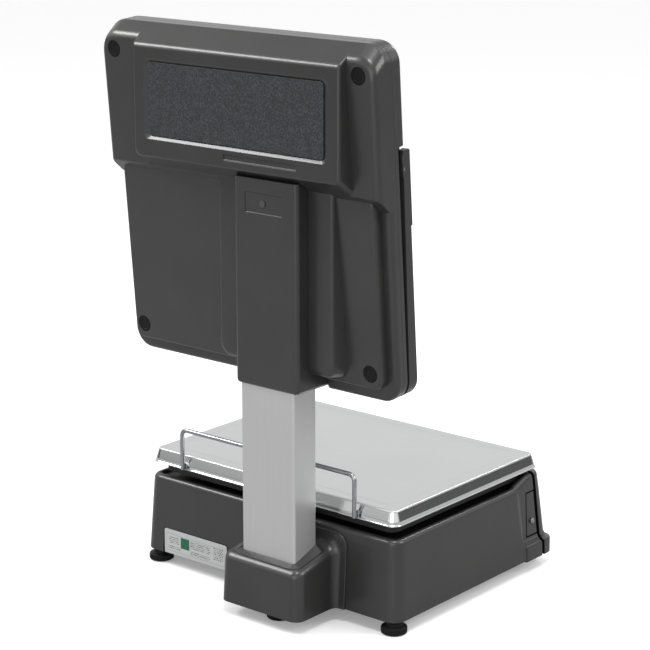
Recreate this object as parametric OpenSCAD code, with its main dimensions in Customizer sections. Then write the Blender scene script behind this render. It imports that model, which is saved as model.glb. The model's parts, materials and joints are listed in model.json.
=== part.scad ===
// Label printing scale: base with platter and printer drawer, column, and a
// tilted operator head. +Z is up, the operator stands at -Y, the column is at
// +Y. The origin is on the floor, under the middle of the bounding box.

/* [Base] */
// Half width of the base housing at its bottom edge
base_half_w = 200.9; // [198:0.1:201.5]
// Half width of the base housing at its top edge
base_half_w_top = 196.1; // [195:0.1:197]
// Height of the bottom edge of the base housing above the floor
base_z0 = 17; // [16.8:0.1:17.4]
// Height of the top edge of the base housing
base_z1 = 115; // [113:0.5:117]
// Top of the front bezel
bezel_z1 = 126; // [124:0.5:127]
// Wall thickness of the plastic shells
wall = 3; // [2.5:0.1:3.2]

/* [Platter] */
// Width of the stainless platter
platter_w = 385; // [380:1:387]
// Depth of the stainless platter
platter_d = 290; // [286:1:291]
// Lower edge of the platter skirt
platter_z0 = 130.8; // [130:0.1:132]
// Top surface of the platter
platter_z1 = 148.5; // [148:0.1:150]
// Height of the guard rail above the floor
rail_z = 184; // [175:1:190]

/* [Column] */
// Width of the column extrusion
column_w = 80; // [76:1:80]
// Depth of the column extrusion
column_d = 40; // [38:1:40]
// Top end of the column, inside the neck
column_z1 = 505; // [480:1:508]

/* [Head] */
// Half width of the head
head_half_w = 204; // [204:0.1:204.2]
// Height of the head along its own tilted axis
head_v = 405.7; // [404:0.1:407]
// Backward lean of the head in degrees
head_tilt = 4.57; // [4.4:0.01:4.7]

/* [Printer] */
// Centre of the printer drawer across the base
drawer_x = 60; // [56:1:64]
// Outer radius of the full label roll
roll_r = 34; // [24:1:34]
// Rubber radius of the platen roller
platen_r = 9; // [8:0.5:9]
// Tooth module of the feed gears
gear_module = 1; // [1:1:1]

/* [Hidden] */
$fn = 64;
fine_fn = 32;
eps = 0.01;
gap = 0.3;

// Base, as [x, y] half widths and y limits at the bottom and at the top
base_rear_y = 126.6;
base_rear_y_top = 121;
base_front_y = -192.9;
base_front_y_top = -178.4;
base_corner_r = 16;
skirt_z0 = 15;
skirt_z1 = 36;
skirt_front_y = -197;
skirt_half_w = 202.2;
deck_z0 = 108;
deck_t = 3;
deck_z1 = deck_z0 + deck_t;
recess_half_w = 186;
recess_y0 = -168.4;
recess_y1 = 111;
seam_gap = 0.6;
seam_points = [[-155.5, 130], [-165.5, 41], [-170.5, 34], [-172.5, 5]];

plate_z0 = 19;
plate_t = 2;
plate_z1 = plate_z0 + plate_t;
plate_half_w = 196;
plate_y0 = -180;
plate_y1 = 121;

// Feet
foot_rear_x = 186.4;
foot_front_x = 156;
foot_rear_y = 112.1;
foot_front_y = -165;
foot_spots = [[foot_front_x, foot_front_y], [foot_rear_x, foot_rear_y]];
foot_r = 15.5;
foot_stud_r = 5;
foot_hub_r = 10;
foot_disc_t = 9;
foot_hub_z1 = 16.5;
foot_stud_z1 = 40;
foot_bore_r = 5.05;
column_x = -54.6;
column_y = 162.05;
column_wall = 3;

// Platter and load path
platter_y = -25.3;
platter_t = 1;
platter_r = 12;
platter_edge_r = 5;
rail_x = 136;
rail_wire_r = 2.8;
carrier_w = 364;
carrier_d = 268;
carrier_z0 = 119;
carrier_plate_z0 = 141;
carrier_plate_t = 2.5;
carrier_z1 = carrier_plate_z0 + carrier_plate_t;
pad_x = 165;
pad_y = 115;
cell_len = 130;
cell_w = 30;
cell_h = 22;
cell_z0 = 60;
cell_z1 = cell_z0 + cell_h;
block_len = 28;
m6_r = 3;
m6_hole_r = 3.1;
m6_head_r = 5;
m6_head_h = 3.5;
cell_screw_x = [45, 57];
bracket_screw_x = [-92, -17];
bracket_screw_y = [75, 112];
bracket_y0 = 60;
bracket_y1 = 191;
bracket_half_w = 53;
bracket_t = 4;
socket_wall = 3.8;
socket_z1 = 70;
stop_x = 150;
stop_y = 100;
level_x = -165;
level_y = -140;

// Column pod
pod_x = -50.6;
pod_half_w = 61;
pod_half_w_top = 58.5;
pod_y0 = 119;
pod_y1 = 197;
pod_y1_top = 194.5;
pod_top_rear_z = 77;
pod_top_front_z = 93;
pod_slope = atan((pod_top_front_z - pod_top_rear_z) / (pod_y1_top - pod_y0));
pod_edge_r = 9;
pod_wall = 2.5;
flange_x0 = -125.3;
flange_x1 = 16;
flange_z1 = 108.5;
flange_t = 2.4;
base_draft = atan((base_rear_y - base_rear_y_top) / (base_z1 - base_z0));

// Power inlet on the left side
inlet_y = 80;
inlet_z = 50;
inlet_w = 44;
inlet_h = 28;
inlet_x0 = 168;
inlet_x1 = 199;
rocker_y = 94;
rocker_x = 195;
rocker_rest = -7;

// Printer drawer
drawer_half_w = 62;
drawer_y0 = -177;
drawer_y1 = -66;
drawer_z0 = 24;
drawer_z1 = 100;
drawer_t = 2;
opening_half_w = 66;
opening_z0 = 22;
opening_z1 = 104;
drawer_inner = drawer_half_w - drawer_t;
platen_y = -162;
platen_z = 80;
platen_half_len = 31;
platen_shaft_r = 4;
platen_teeth = 28;
pinion_teeth = 14;
pinion_z = platen_z - gear_module * (platen_teeth + pinion_teeth) / 2;
pinion_y = platen_y;
gear_x0 = 50;
gear_x1 = 56;
motor_x0 = 37;
motor_x1 = 49;
motor_half = 14;
roll_y = -104;
roll_z = 62;
roll_half_len = 30;
core_r = 16;
journal_r = 5;
spool_y = -150;
spool_z = 38;
spool_r = 10;
spool_journal_r = 3;
lever_y = -132;
lever_z = 95;
lever_shaft_r = 3;
running = 0.05;
peel_y = -173.5;
peel_z = 83;
slot_half_w = 32;
slot_z = 88;
slot_h = 6;

// Head, measured in its own frame: x across, w out of the rear, v up
head_y = 118.3;
head_z = 282.6;
rim_w = 12;
lower_w = 24;
upper_w = 30;
lower_half_w = 190;
lower_v0 = 18;
upper_v0 = 239;
front_w = -20.3;
plate_front_w = -6.5;
face_v0 = 291;
mid_half_w = 195.5;
mid_v0 = 256;
head_corner_r = 24;
shell = 2.5;
hinge_v = 264.8;
hinge_w = -17.2;
pin_r = 2.5;
ear_x0 = 196.3;
ear_x1 = 203.9;
ear_v1 = 287;
frame_v0 = 0.5;
frame_v1 = 252;
window_half_w = 182;
window_v0 = 22;
window_v1 = 236;
display_half_w = 140;
display_v0 = 306;
display_v1 = 384;
key_v = 273;
key_w = 26;
key_h = 14;
key_x = [-120, -84, -48];
cap_r = 9.5;

// Logo pod, block and neck, in the upright frame
badge_face_y = 188.9;
badge_x0 = -165;
badge_x1 = 141.5;
badge_z0 = 535;
badge_z1 = 663;
panel_x0 = -142.8;
panel_x1 = 119.6;
panel_z0 = 559.5;
panel_z1 = 644.4;
panel_depth = 3;
block_y = 165.6;
block_x0 = -136.7;
block_x1 = 31.1;
block_z0 = 308;
block_z1 = 519;
neck_x0 = -102.3;
neck_x1 = -8.6;
neck_y1 = 184.9;
neck_z0 = 285.5;
neck_z1 = 527;
neck_wall = 2.5;
neck_inner_w = 6.5;
neck_plate_x0 = -80;
neck_plate_x1 = -26.5;
neck_plate_z0 = 489.7;
neck_plate_z1 = 510.9;

// ---------- shared shapes ----------

module box(lo, hi) {
  translate(lo) cube(hi - lo);
}

module rounded_outline(w, d, r) {
  square([w - 2 * r, d], center = true);
  square([w, d - 2 * r], center = true);
  for (sx = [-1, 1], sy = [-1, 1])
    translate([sx * (w / 2 - r), sy * (d / 2 - r)]) circle(r = r);
}

module slab(x0, x1, y0, y1, r, z0, z1) {
  translate([(x0 + x1) / 2, (y0 + y1) / 2, z0])
    linear_extrude(height = z1 - z0) rounded_outline(x1 - x0, y1 - y0, r);
}

module rod_x(r, x0, x1, y, z) {
  translate([x0, y, z]) rotate([0, 90, 0]) cylinder(r = r, h = x1 - x0);
}

module rod_z(r, x, y, z0, z1) {
  translate([x, y, z0]) cylinder(r = r, h = z1 - z0);
}

// A side profile in Y and Z, carried along X
module along_x(x0, x1, points) {
  translate([x0, 0, 0]) rotate([90, 0, 90]) linear_extrude(height = x1 - x0) polygon(points);
}

// The head's own frame: x, w (out of the rear), v (up)
module in_head() {
  translate([0, head_y, head_z]) rotate([-head_tilt, 0, 0]) children();
}

// A rounded plate standing in the head's frame
module head_slab(x0, x1, v0, v1, r, w0, w1) {
  translate([(x0 + x1) / 2, w1, (v0 + v1) / 2])
    rotate([90, 0, 0]) linear_extrude(height = w1 - w0) rounded_outline(x1 - x0, v1 - v0, r);
}

// Spur gear across X, with straight-sided teeth
module spur_gear(teeth, x0, x1, bore_r) {
  pitch_r = gear_module * teeth / 2;
  root_r = pitch_r - 1.25 * gear_module;
  tip_r = pitch_r + 0.9 * gear_module;
  tooth_root = 0.44 * PI * gear_module;
  tooth_tip = 0.2 * PI * gear_module;
  translate([x0, 0, 0]) rotate([90, 0, 90]) linear_extrude(height = x1 - x0) difference() {
    union() {
      circle(r = root_r);
      for (i = [0 : teeth - 1]) rotate([0, 0, i * 360 / teeth])
        polygon([[root_r - 0.4, -tooth_root / 2], [tip_r, -tooth_tip / 2],
                 [tip_r, tooth_tip / 2], [root_r - 0.4, tooth_root / 2]]);
    }
    circle(r = bore_r);
  }
}

// ---------- base ----------

// Tapered block of the whole base, drawn in by inset on every side
module base_block(inset, z0, z1) {
  hull() {
    slab(-base_half_w + inset, base_half_w - inset, base_front_y + inset, base_rear_y - inset,
         base_corner_r - inset, z0, z0 + eps);
    slab(-base_half_w_top + inset + 0.5, base_half_w_top - inset - 0.5,
         base_front_y_top + inset + 1.6, base_rear_y_top - inset - 0.6,
         base_corner_r - inset, z1 - eps, z1);
  }
}

// Everything below the rising top edge of the base
module base_top_profile() {
  along_x(-220, 220, [[140, 0], [140, base_z1], [-112, base_z1], [-124, base_z1 + 2],
    [-138, bezel_z1 - 2], [-150, bezel_z1], [-171, bezel_z1], [-177, bezel_z1 - 5],
    [-180, base_z1 - 10], [-210, base_z1 - 10], [-210, 0]]);
}

module seam_side(front) {
  y_far = front ? -220 : 140;
  shift = front ? -seam_gap : 0;
  pts = [for (p = seam_points) [p[0] + shift, p[1]]];
  along_x(-220, 220, concat([[y_far, 130]], pts, [[y_far, 5]]));
}

module base_skirt() {
  difference() {
    slab(-skirt_half_w, skirt_half_w, skirt_front_y, -60, 14, skirt_z0, skirt_z1);
    box([-220, -137, 0], [220, -50, 60]);
  }
}

module base_cavity() {
  base_block(wall, base_z0 - 3, deck_z0);
  slab(-recess_half_w, recess_half_w, recess_y0, recess_y1, 10, deck_z1, bezel_z1 + 5);
}

module base_solid() {
  difference() {
    union() {
      intersection() {
        base_block(0, base_z0, bezel_z1);
        base_top_profile();
      }
      base_skirt();
    }
    base_cavity();
  }
}

module hatch_box(grow) {
  box([-base_half_w - 5, -180, 46 - grow], [-base_half_w + 8, -140.5 + grow, 104 + grow]);
}

module base_housing() {
  color([0.27, 0.27, 0.28]) difference() {
    intersection() {
      base_solid();
      seam_side(false);
    }
    hatch_box(0.4);
    box([30, -48, deck_z0 - 1], [72, -3, deck_z1 + 1]);
    box([-111, 100, base_z0 - 5], [2, 140, 31]);
    box([61.5, 124.6, 0], [168.5, 140, 50]);
    box([190, inlet_y - inlet_w / 2 - gap, inlet_z - inlet_h / 2 - gap],
        [210, inlet_y + inlet_w / 2 + gap, inlet_z + inlet_h / 2 + gap]);
  }
}

module base_plate() {
  color([0.62, 0.63, 0.64]) difference() {
    slab(-plate_half_w, plate_half_w, plate_y0, plate_y1, 13, plate_z0, plate_z1);
    for (sx = [-1, 1], spot = foot_spots) rod_z(7.6, sx * spot[0], spot[1], 0, 40);
    for (x = bracket_screw_x, y = bracket_screw_y) rod_z(m6_hole_r, x, y, 0, 40);
  }
}

module front_bezel() {
  color([0.27, 0.27, 0.28]) difference() {
    intersection() {
      base_solid();
      seam_side(true);
    }
    box([drawer_x - opening_half_w, -210, opening_z0], [drawer_x + opening_half_w, -150, opening_z1]);
  }
}

module side_hatch() {
  color([0.3, 0.3, 0.31]) difference() {
    intersection() {
      difference() {
        base_block(0.4, base_z0, bezel_z1);
        base_block(wall, base_z0 - 1, bezel_z1 + 1);
      }
      hatch_box(0);
      seam_side(false);
    }
    translate([-190, -151.5, 66]) rotate([0, -90, 0]) cylinder(r = 2.6, h = 20);
  }
}

module hatch_screw() {
  color([0.85, 0.86, 0.87]) translate([-195.4, -151.5, 66]) rotate([0, -90, 0]) {
    cylinder(r = 2.5, h = 3.2);
  }
}

module rating_plate() {
  color([0.84, 0.85, 0.86]) difference() {
    translate([115.1, 124.7, 33.3]) rotate([90, 0, 0])
      translate([0, 0, -1]) linear_extrude(height = 0.9) rounded_outline(105, 31, 2);
    box([0, 0, -5], [200, 200, base_z0 + 0.5]);
  }
}

// ---------- column, its pod and its bracket ----------

module pod_layer(z, drop, inset) {
  z_mid = (pod_top_rear_z + pod_top_front_z) / 2 + z;
  y_mid = (pod_y0 + pod_y1_top) / 2;
  translate([pod_x, y_mid, z_mid - drop]) rotate([-pod_slope, 0, 0])
    slab(-pod_half_w_top + inset, pod_half_w_top - inset, -(pod_y1_top - pod_y0) / 2 + 1,
         (pod_y1_top - pod_y0) / 2 / cos(pod_slope) - inset, 9, 0, eps, $fn = fine_fn);
}

module pod_block(inset, lift) {
  hull() {
    slab(pod_x - pod_half_w + inset, pod_x + pod_half_w - inset, pod_y0,
         pod_y1 - inset, 13 - inset, base_z0 - lift, base_z0 - lift + eps, $fn = fine_fn);
    pod_layer(-inset, pod_edge_r, inset);
    pod_layer(-inset, pod_edge_r * 0.62, inset + pod_edge_r * 0.08);
    pod_layer(-inset, pod_edge_r * 0.29, inset + pod_edge_r * 0.29);
    pod_layer(-inset, 0, inset + pod_edge_r);
  }
}

module pod_flange() {
  translate([(flange_x0 + flange_x1) / 2, base_rear_y + 0.1, base_z0])
    rotate([base_draft, 0, 0]) rotate([90, 0, 0]) translate([0, flange_z1 / 2 - 30, -flange_t])
      linear_extrude(height = flange_t)
        rounded_outline(flange_x1 - flange_x0, flange_z1 + 60 - base_z0 * 2, 16);
}

module column_outline(grow) {
  rounded_outline(column_w + 2 * grow, column_d + 2 * grow, 3 + grow);
}

module column_pod() {
  color([0.27, 0.27, 0.28]) difference() {
    union() {
      pod_block(0, 0);
      pod_flange();
      translate([column_x, column_y, 60]) linear_extrude(height = 24) column_outline(5);
    }
    pod_block(pod_wall, 2);
    translate([column_x, column_y, 0]) linear_extrude(height = 200) column_outline(0.3);
    box([-200, 80, -60], [200, 220, base_z0]);
    base_block(-0.05, base_z0 - 1, bezel_z1);
    box([column_x - bracket_half_w - 0.2, 100, 0], [column_x + bracket_half_w + 0.2, 140, 66]);
  }
}

module column() {
  color([0.72, 0.72, 0.73]) translate([column_x, column_y, plate_z1 + bracket_t + 0.2])
    linear_extrude(height = column_z1 - plate_z1 - bracket_t - 0.2) difference() {
      column_outline(0);
      rounded_outline(column_w - 2 * column_wall, column_d - 2 * column_wall, 1.5);
    }
}

module column_bracket() {
  color([0.55, 0.56, 0.57]) difference() {
    union() {
      slab(column_x - bracket_half_w, column_x + bracket_half_w, bracket_y0, bracket_y1, 6,
           plate_z1, plate_z1 + bracket_t);
      translate([column_x, column_y, plate_z1]) linear_extrude(height = socket_z1 - plate_z1)
        difference() {
          column_outline(socket_wall);
          column_outline(0.15);
        }
    }
    rod_z(7.6, column_x, column_y, 0, 60);
    for (x = bracket_screw_x, y = bracket_screw_y) rod_z(m6_hole_r, x, y, 0, 40);
  }
}

module m6_screw(z_head, length) {
  translate([0, 0, z_head]) cylinder(r = m6_head_r, h = m6_head_h);
  translate([0, 0, z_head - length]) cylinder(r = m6_r, h = length + eps);
}

module m6_screws() {
  color([0.7, 0.71, 0.72]) {
    for (x = bracket_screw_x, y = bracket_screw_y)
      translate([x, y, 0]) m6_screw(plate_z1 + bracket_t + 0.05, 7);
    for (x = cell_screw_x) translate([x, platter_y, 0]) m6_screw(carrier_z1 + 0.05, 14);
  }
}

// ---------- feet ----------

module foot(x, y) {
  color([0.07, 0.07, 0.075]) translate([x, y, 0]) rotate_extrude()
    polygon([[0, 0], [foot_r - 1.5, 0], [foot_r, 1.5], [foot_r, foot_disc_t - 2],
             [foot_r - 2, foot_disc_t], [foot_hub_r, foot_disc_t], [foot_hub_r, foot_hub_z1],
             [foot_stud_r, foot_hub_z1], [foot_stud_r, foot_stud_z1], [0, foot_stud_z1]]);
}

module foot_rear_left() { foot(foot_rear_x, foot_rear_y); }
module foot_rear_right() { foot(-foot_rear_x, foot_rear_y); }
module foot_front_left() { foot(foot_front_x, foot_front_y); }
module foot_front_right() { foot(-foot_front_x, foot_front_y); }
module foot_column() { foot(column_x, column_y); }

module foot_insert(x, y, z_flange) {
  difference() {
    union() {
      rod_z(7.5, x, y, base_z0 + 0.3, 33);
      rod_z(9.5, x, y, z_flange, z_flange + 2.5);
    }
    rod_z(foot_bore_r, x, y, 0, 60);
  }
}

module foot_inserts() {
  color([0.75, 0.74, 0.68]) {
    for (sx = [-1, 1], spot = foot_spots) foot_insert(sx * spot[0], spot[1], plate_z1);
    foot_insert(column_x, column_y, plate_z1 + bracket_t);
  }
}

// ---------- load path ----------

module load_cell() {
  color([0.78, 0.79, 0.8]) difference() {
    box([-cell_len / 2, platter_y - cell_w / 2, cell_z0],
        [cell_len / 2, platter_y + cell_w / 2, cell_z1]);
    for (sx = [-1, 1]) translate([sx * 11, platter_y + cell_w, cell_z0 + cell_h / 2])
      rotate([90, 0, 0]) cylinder(r = 8, h = 2 * cell_w);
    box([-11, platter_y - cell_w, cell_z0 + cell_h / 2 - 3],
        [11, platter_y + cell_w, cell_z0 + cell_h / 2 + 3]);
  }
}

module load_cell_blocks() {
  color([0.6, 0.61, 0.62]) difference() {
    union() {
      box([-cell_len / 2, platter_y - cell_w / 2 + 1, plate_z1],
          [-cell_len / 2 + block_len, platter_y + cell_w / 2 - 1, cell_z0]);
      box([cell_len / 2 - block_len, platter_y - cell_w / 2 + 1, cell_z1],
          [cell_len / 2, platter_y + cell_w / 2 - 1, carrier_plate_z0]);
    }
    for (x = cell_screw_x) rod_z(m6_hole_r, x, platter_y, carrier_plate_z0 - 13, 200);
  }
}

module overload_stops() {
  color([0.7, 0.71, 0.72]) for (sx = [-1, 1], sy = [-1, 1])
    rod_z(4, sx * stop_x, platter_y + sy * stop_y, deck_z1, carrier_plate_z0 - 1.4);
}

module platter_carrier() {
  color([0.06, 0.06, 0.065]) difference() {
    slab(-carrier_w / 2, carrier_w / 2, platter_y - carrier_d / 2, platter_y + carrier_d / 2, 12,
         carrier_z0, carrier_z1);
    slab(-carrier_w / 2 + 2, carrier_w / 2 - 2, platter_y - carrier_d / 2 + 2,
         platter_y + carrier_d / 2 - 2, 10, carrier_z0 - 1, carrier_plate_z0);
    for (x = cell_screw_x) rod_z(m6_hole_r, x, platter_y, 100, 200);
    for (x = [-120, -60, 60, 120], sy = [-1, 1]) translate([x, platter_y + sy * 70, 100])
      linear_extrude(height = 100) rounded_outline(46, 60, 10);
  }
}

module carrier_pads() {
  color([0.12, 0.12, 0.12]) for (sx = [-1, 1], sy = [-1, 1])
    rod_z(9, sx * pad_x, platter_y + sy * pad_y, carrier_z1, platter_z1 - platter_t - 0.05);
}

module platter_shell(inset, drop) {
  w = platter_w / 2 - inset;
  y0 = platter_y - platter_d / 2 + inset;
  y1 = platter_y + platter_d / 2 - inset;
  e = platter_edge_r;
  r = platter_r - inset;
  z = platter_z1 - drop;
  layer = 0.05;
  hull() {
    slab(-w, w, y0, y1, r, platter_z0 - inset * 3, z - e, $fn = fine_fn);
    for (a = [30, 60, 90]) {
      in_by = e * (1 - cos(a));
      slab(-w + in_by, w - in_by, y0 + in_by, y1 - in_by, r - in_by,
           z - e + e * sin(a) - layer, z - e + e * sin(a), $fn = fine_fn);
    }
  }
}

module platter() {
  color([0.83, 0.84, 0.84]) difference() {
    union() {
      platter_shell(0, 0);
      slab(-platter_w / 2 - 1, platter_w / 2 + 1, platter_y - platter_d / 2 - 1,
           platter_y + platter_d / 2 + 1, platter_r + 1, platter_z0, platter_z0 + 1.6,
           $fn = fine_fn);
    }
    platter_shell(platter_t, platter_t);
  }
}

module guard_rail() {
  y = platter_y + platter_d / 2 + 1 + rail_wire_r;
  bend = 8;
  color([0.8, 0.81, 0.82]) {
    for (sx = [-1, 1]) {
      rod_z(rail_wire_r, sx * rail_x, y, platter_z0 + 1.6, rail_z - bend);
      translate([sx * (rail_x - bend), y, rail_z - bend]) rotate([90, 0, 0])
        rotate([0, 0, sx > 0 ? 0 : 90]) rotate_extrude(angle = 90)
          translate([bend, 0]) circle(r = rail_wire_r, $fn = 24);
      box([sx * rail_x - 5, y - rail_wire_r, platter_z0 + 1.6],
          [sx * rail_x + 5, y - rail_wire_r + 1.2, platter_z0 + 10]);
    }
    rod_x(rail_wire_r, -rail_x + bend, rail_x - bend, y, rail_z);
  }
}

module level_body() {
  color([0.1, 0.1, 0.1]) difference() {
    rod_z(9, level_x, level_y, deck_z1, deck_z1 + 7);
    rod_z(7.1, level_x, level_y, deck_z1 + 2, deck_z1 + 10);
  }
}

module level_vial() {
  color([0.75, 0.9, 0.4]) rod_z(7, level_x, level_y, deck_z1 + 2, deck_z1 + 8);
}

// ---------- electronics in the base ----------

module main_board() {
  color([0.1, 0.35, 0.18]) {
    box([20, 30, 40], [150, 105, 41.6]);
    for (x = [26, 144], y = [36, 99]) rod_z(3, x, y, plate_z1, 40 + eps);
    box([40, 50, 41.5], [68, 78, 44.5]);
    box([80, 45, 41.5], [120, 60, 50]);
    for (i = [0 : 4]) rod_z(4, 84 + i * 12, 85, 41.5, 56);
  }
}

module power_supply() {
  color([0.7, 0.71, 0.72]) difference() {
    box([-190, -60, plate_z1], [-120, 60, 60]);
    for (i = [0 : 8]) box([-182, -48 + i * 12, 55], [-128, -44 + i * 12, 61]);
  }
}

module power_inlet() {
  color([0.08, 0.08, 0.085]) {
    difference() {
      box([inlet_x0, inlet_y - inlet_w / 2, inlet_z - inlet_h / 2],
          [inlet_x1, inlet_y + inlet_w / 2, inlet_z + inlet_h / 2]);
      box([inlet_x1 - 17, 61, 41.5], [inlet_x1 + 1, 85, 58.5]);
      box([inlet_x1 - 12, rocker_y - 6.2, inlet_z - 10.6],
          [inlet_x1 + 1, rocker_y + 6.2, inlet_z + 10.6]);
    }
    for (p = [[66.5, 48], [73, 52], [79.5, 48]])
      box([inlet_x1 - 17.5, p[0] - 1, p[1] - 2], [inlet_x1 - 4, p[0] + 1, p[1] + 2]);
  }
}

module power_rocker() {
  color([0.75, 0.1, 0.08]) translate([rocker_x, rocker_y, inlet_z]) rotate([0, rocker_rest, 0])
    rotate([90, 0, 0]) linear_extrude(height = 11.4, center = true)
      polygon([[-4, -9], [3.2, -9], [2.2, 0], [3.2, 9], [-4, 9], [-6, 0]]);
}

// ---------- printer drawer ----------

module drawer_rails() {
  color([0.6, 0.61, 0.62]) for (sx = [-1, 1]) {
    x_in = drawer_x + sx * (drawer_half_w + 0.6);
    box([min(x_in, x_in + sx * 2), -165, plate_z1], [max(x_in, x_in + sx * 2), -62, 62]);
    box([min(x_in, x_in + sx * 14), -165, plate_z1],
        [max(x_in, x_in + sx * 14), -62, plate_z1 + 1.5]);
  }
}

module drawer_chassis() {
  color([0.3, 0.31, 0.33]) difference() {
    union() {
      box([drawer_x - drawer_half_w, drawer_y0, drawer_z0],
          [drawer_x + drawer_half_w, drawer_y1, drawer_z0 + drawer_t]);
      for (sx = [-1, 1]) {
        x_out = drawer_x + sx * drawer_half_w;
        box([min(x_out, x_out - sx * drawer_t), drawer_y0, drawer_z0],
            [max(x_out, x_out - sx * drawer_t), drawer_y1, drawer_z1]);
        box([drawer_x + (sx > 0 ? 36 : -39), roll_y - 8, drawer_z0 + eps],
            [drawer_x + (sx > 0 ? 39 : -36), roll_y + 8, roll_z + 9]);
      }
      box([drawer_x - drawer_half_w, drawer_y1 - drawer_t, drawer_z0],
          [drawer_x + drawer_half_w, drawer_y1, drawer_z1 - 20]);
      box([drawer_x + motor_x0 - 2, pinion_y - motor_half, drawer_z0 + eps],
          [drawer_x + motor_x0, pinion_y + motor_half, peel_z + 3]);
    }
    rod_x(journal_r + running, drawer_x - 45, drawer_x + 45, roll_y, roll_z);
    rod_x(platen_shaft_r + running, drawer_x - 80, drawer_x + 80, platen_y, platen_z);
    rod_x(spool_journal_r + running, drawer_x - 80, drawer_x + 80, spool_y, spool_z);
    rod_x(lever_shaft_r + running, drawer_x - 80, drawer_x + 80, lever_y, lever_z);
  }
}

module drawer_front() {
  half = opening_half_w - seam_gap;
  color([0.25, 0.25, 0.26]) difference() {
    intersection() {
      base_solid();
      box([drawer_x - half, -210, opening_z0 + seam_gap],
          [drawer_x + half, drawer_y0 - 0.2, opening_z1 - seam_gap]);
    }
    box([drawer_x - slot_half_w, -210, slot_z - slot_h / 2],
        [drawer_x + slot_half_w, -150, slot_z + slot_h / 2]);
    box([drawer_x - 25, -210, 30], [drawer_x + 25, -194.2, skirt_z1 - 1]);
  }
}

module peel_bar() {
  color([0.8, 0.81, 0.82])
    rod_x(1.5, drawer_x - drawer_inner, drawer_x + motor_x0 - 2, peel_y, peel_z);
}

module platen_roller() {
  color([0.15, 0.15, 0.16]) translate([drawer_x, 0, 0]) {
    rod_x(platen_r, -platen_half_len, platen_half_len, platen_y, platen_z);
    rod_x(platen_shaft_r, -drawer_half_w + 0.5, drawer_half_w - 0.5, platen_y, platen_z);
  }
}

module platen_gear() {
  color([0.85, 0.85, 0.8]) translate([drawer_x, platen_y, platen_z])
    spur_gear(platen_teeth, gear_x0, gear_x1, platen_shaft_r + 0.02);
}

module feed_motor() {
  color([0.2, 0.2, 0.21]) difference() {
    translate([drawer_x + motor_x0, pinion_y, pinion_z]) rotate([90, 0, 90])
      linear_extrude(height = motor_x1 - motor_x0)
        rounded_outline(2 * motor_half, 2 * motor_half, 3);
    rod_x(2.55, drawer_x + motor_x1 - 5, drawer_x + motor_x1 + 5, pinion_y, pinion_z);
  }
}

// A gap of the pinion faces the tooth of the platen gear right above it
module motor_pinion() {
  color([0.8, 0.7, 0.4]) translate([drawer_x, pinion_y, pinion_z]) {
    spur_gear(pinion_teeth, gear_x0, gear_x1, 2);
    rod_x(2.5, motor_x1 - 4.5, gear_x1 + 1, 0, 0);
  }
}

module print_head_lever() {
  color([0.65, 0.66, 0.67]) translate([drawer_x, 0, 0]) difference() {
    union() {
      box([-33, -172, 92], [33, lever_y, 94]);
      for (sx = [-1, 1])
        box([sx > 0 ? 31 : -33, -150, 90], [sx > 0 ? 33 : -31, lever_y + 3, 98]);
      rod_x(lever_shaft_r, -drawer_half_w + 0.5, drawer_half_w - 0.5, lever_y, lever_z);
    }
    box([-20, -152, 85], [20, -140, 99]);
  }
}

module print_head() {
  color([0.85, 0.86, 0.82]) translate([drawer_x, 0, 0])
    box([-32, -169, platen_z + platen_r + 0.3], [32, -155, 92]);
}

module roll_core() {
  color([0.2, 0.45, 0.7]) translate([drawer_x, 0, 0]) {
    rod_x(core_r - 0.1, -roll_half_len - 1, roll_half_len + 1, roll_y, roll_z);
    rod_x(journal_r, -41, 41, roll_y, roll_z);
    rod_x(core_r + 8, -roll_half_len - 3, -roll_half_len - 1, roll_y, roll_z);
  }
}

module label_roll() {
  color([0.93, 0.93, 0.9]) translate([drawer_x, 0, 0]) difference() {
    rod_x(roll_r, -roll_half_len, roll_half_len, roll_y, roll_z);
    rod_x(core_r, -roll_half_len - 1, roll_half_len + 1, roll_y, roll_z);
  }
}

module take_up_spool() {
  color([0.2, 0.45, 0.7]) translate([drawer_x, 0, 0]) {
    rod_x(spool_r, -32, 32, spool_y, spool_z);
    for (x = [-34, 32]) rod_x(12, x, x + 2, spool_y, spool_z);
    rod_x(spool_journal_r, -drawer_half_w + 0.5, drawer_half_w - 0.5, spool_y, spool_z);
  }
}

// ---------- head ----------

module head_rim() {
  w = head_half_w;
  hull() {
    head_slab(-w, w, 0, head_v, head_corner_r, 0, rim_w - 6, $fn = fine_fn);
    head_slab(-w + 1.8, w - 1.8, 1.8, head_v - 1.8, head_corner_r - 1.8, rim_w - 2,
              rim_w - 2 + eps, $fn = fine_fn);
    head_slab(-w + 6, w - 6, 6, head_v - 6, head_corner_r - 6, rim_w - eps, rim_w,
              $fn = fine_fn);
  }
}

module head_lower_plateau() {
  hull() {
    head_slab(-lower_half_w - 1, lower_half_w + 1, lower_v0 - 1, upper_v0, 10, rim_w - 1,
              rim_w, $fn = fine_fn);
    head_slab(-lower_half_w, lower_half_w, lower_v0, upper_v0, 10, lower_w - 1,
              lower_w, $fn = fine_fn);
  }
}

function upper_profile(w_max, cut) = [
  [0, 222 + cut], [rim_w, 222 + cut], [w_max, 222 + cut + w_max - rim_w],
  [w_max, 391 - cut + (upper_w - w_max) * 0.7], [11 - cut, head_v - cut], [0, head_v - cut]];

module head_upper_body() {
  intersection() {
    hull() {
      along_x(-head_half_w + 8, head_half_w - 8, upper_profile(upper_w, 0));
      along_x(-head_half_w, head_half_w, upper_profile(upper_w - 8, 0));
    }
    head_slab(-head_half_w, head_half_w, -20, head_v, head_corner_r + 4, -1, upper_w + 1);
  }
}

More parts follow.
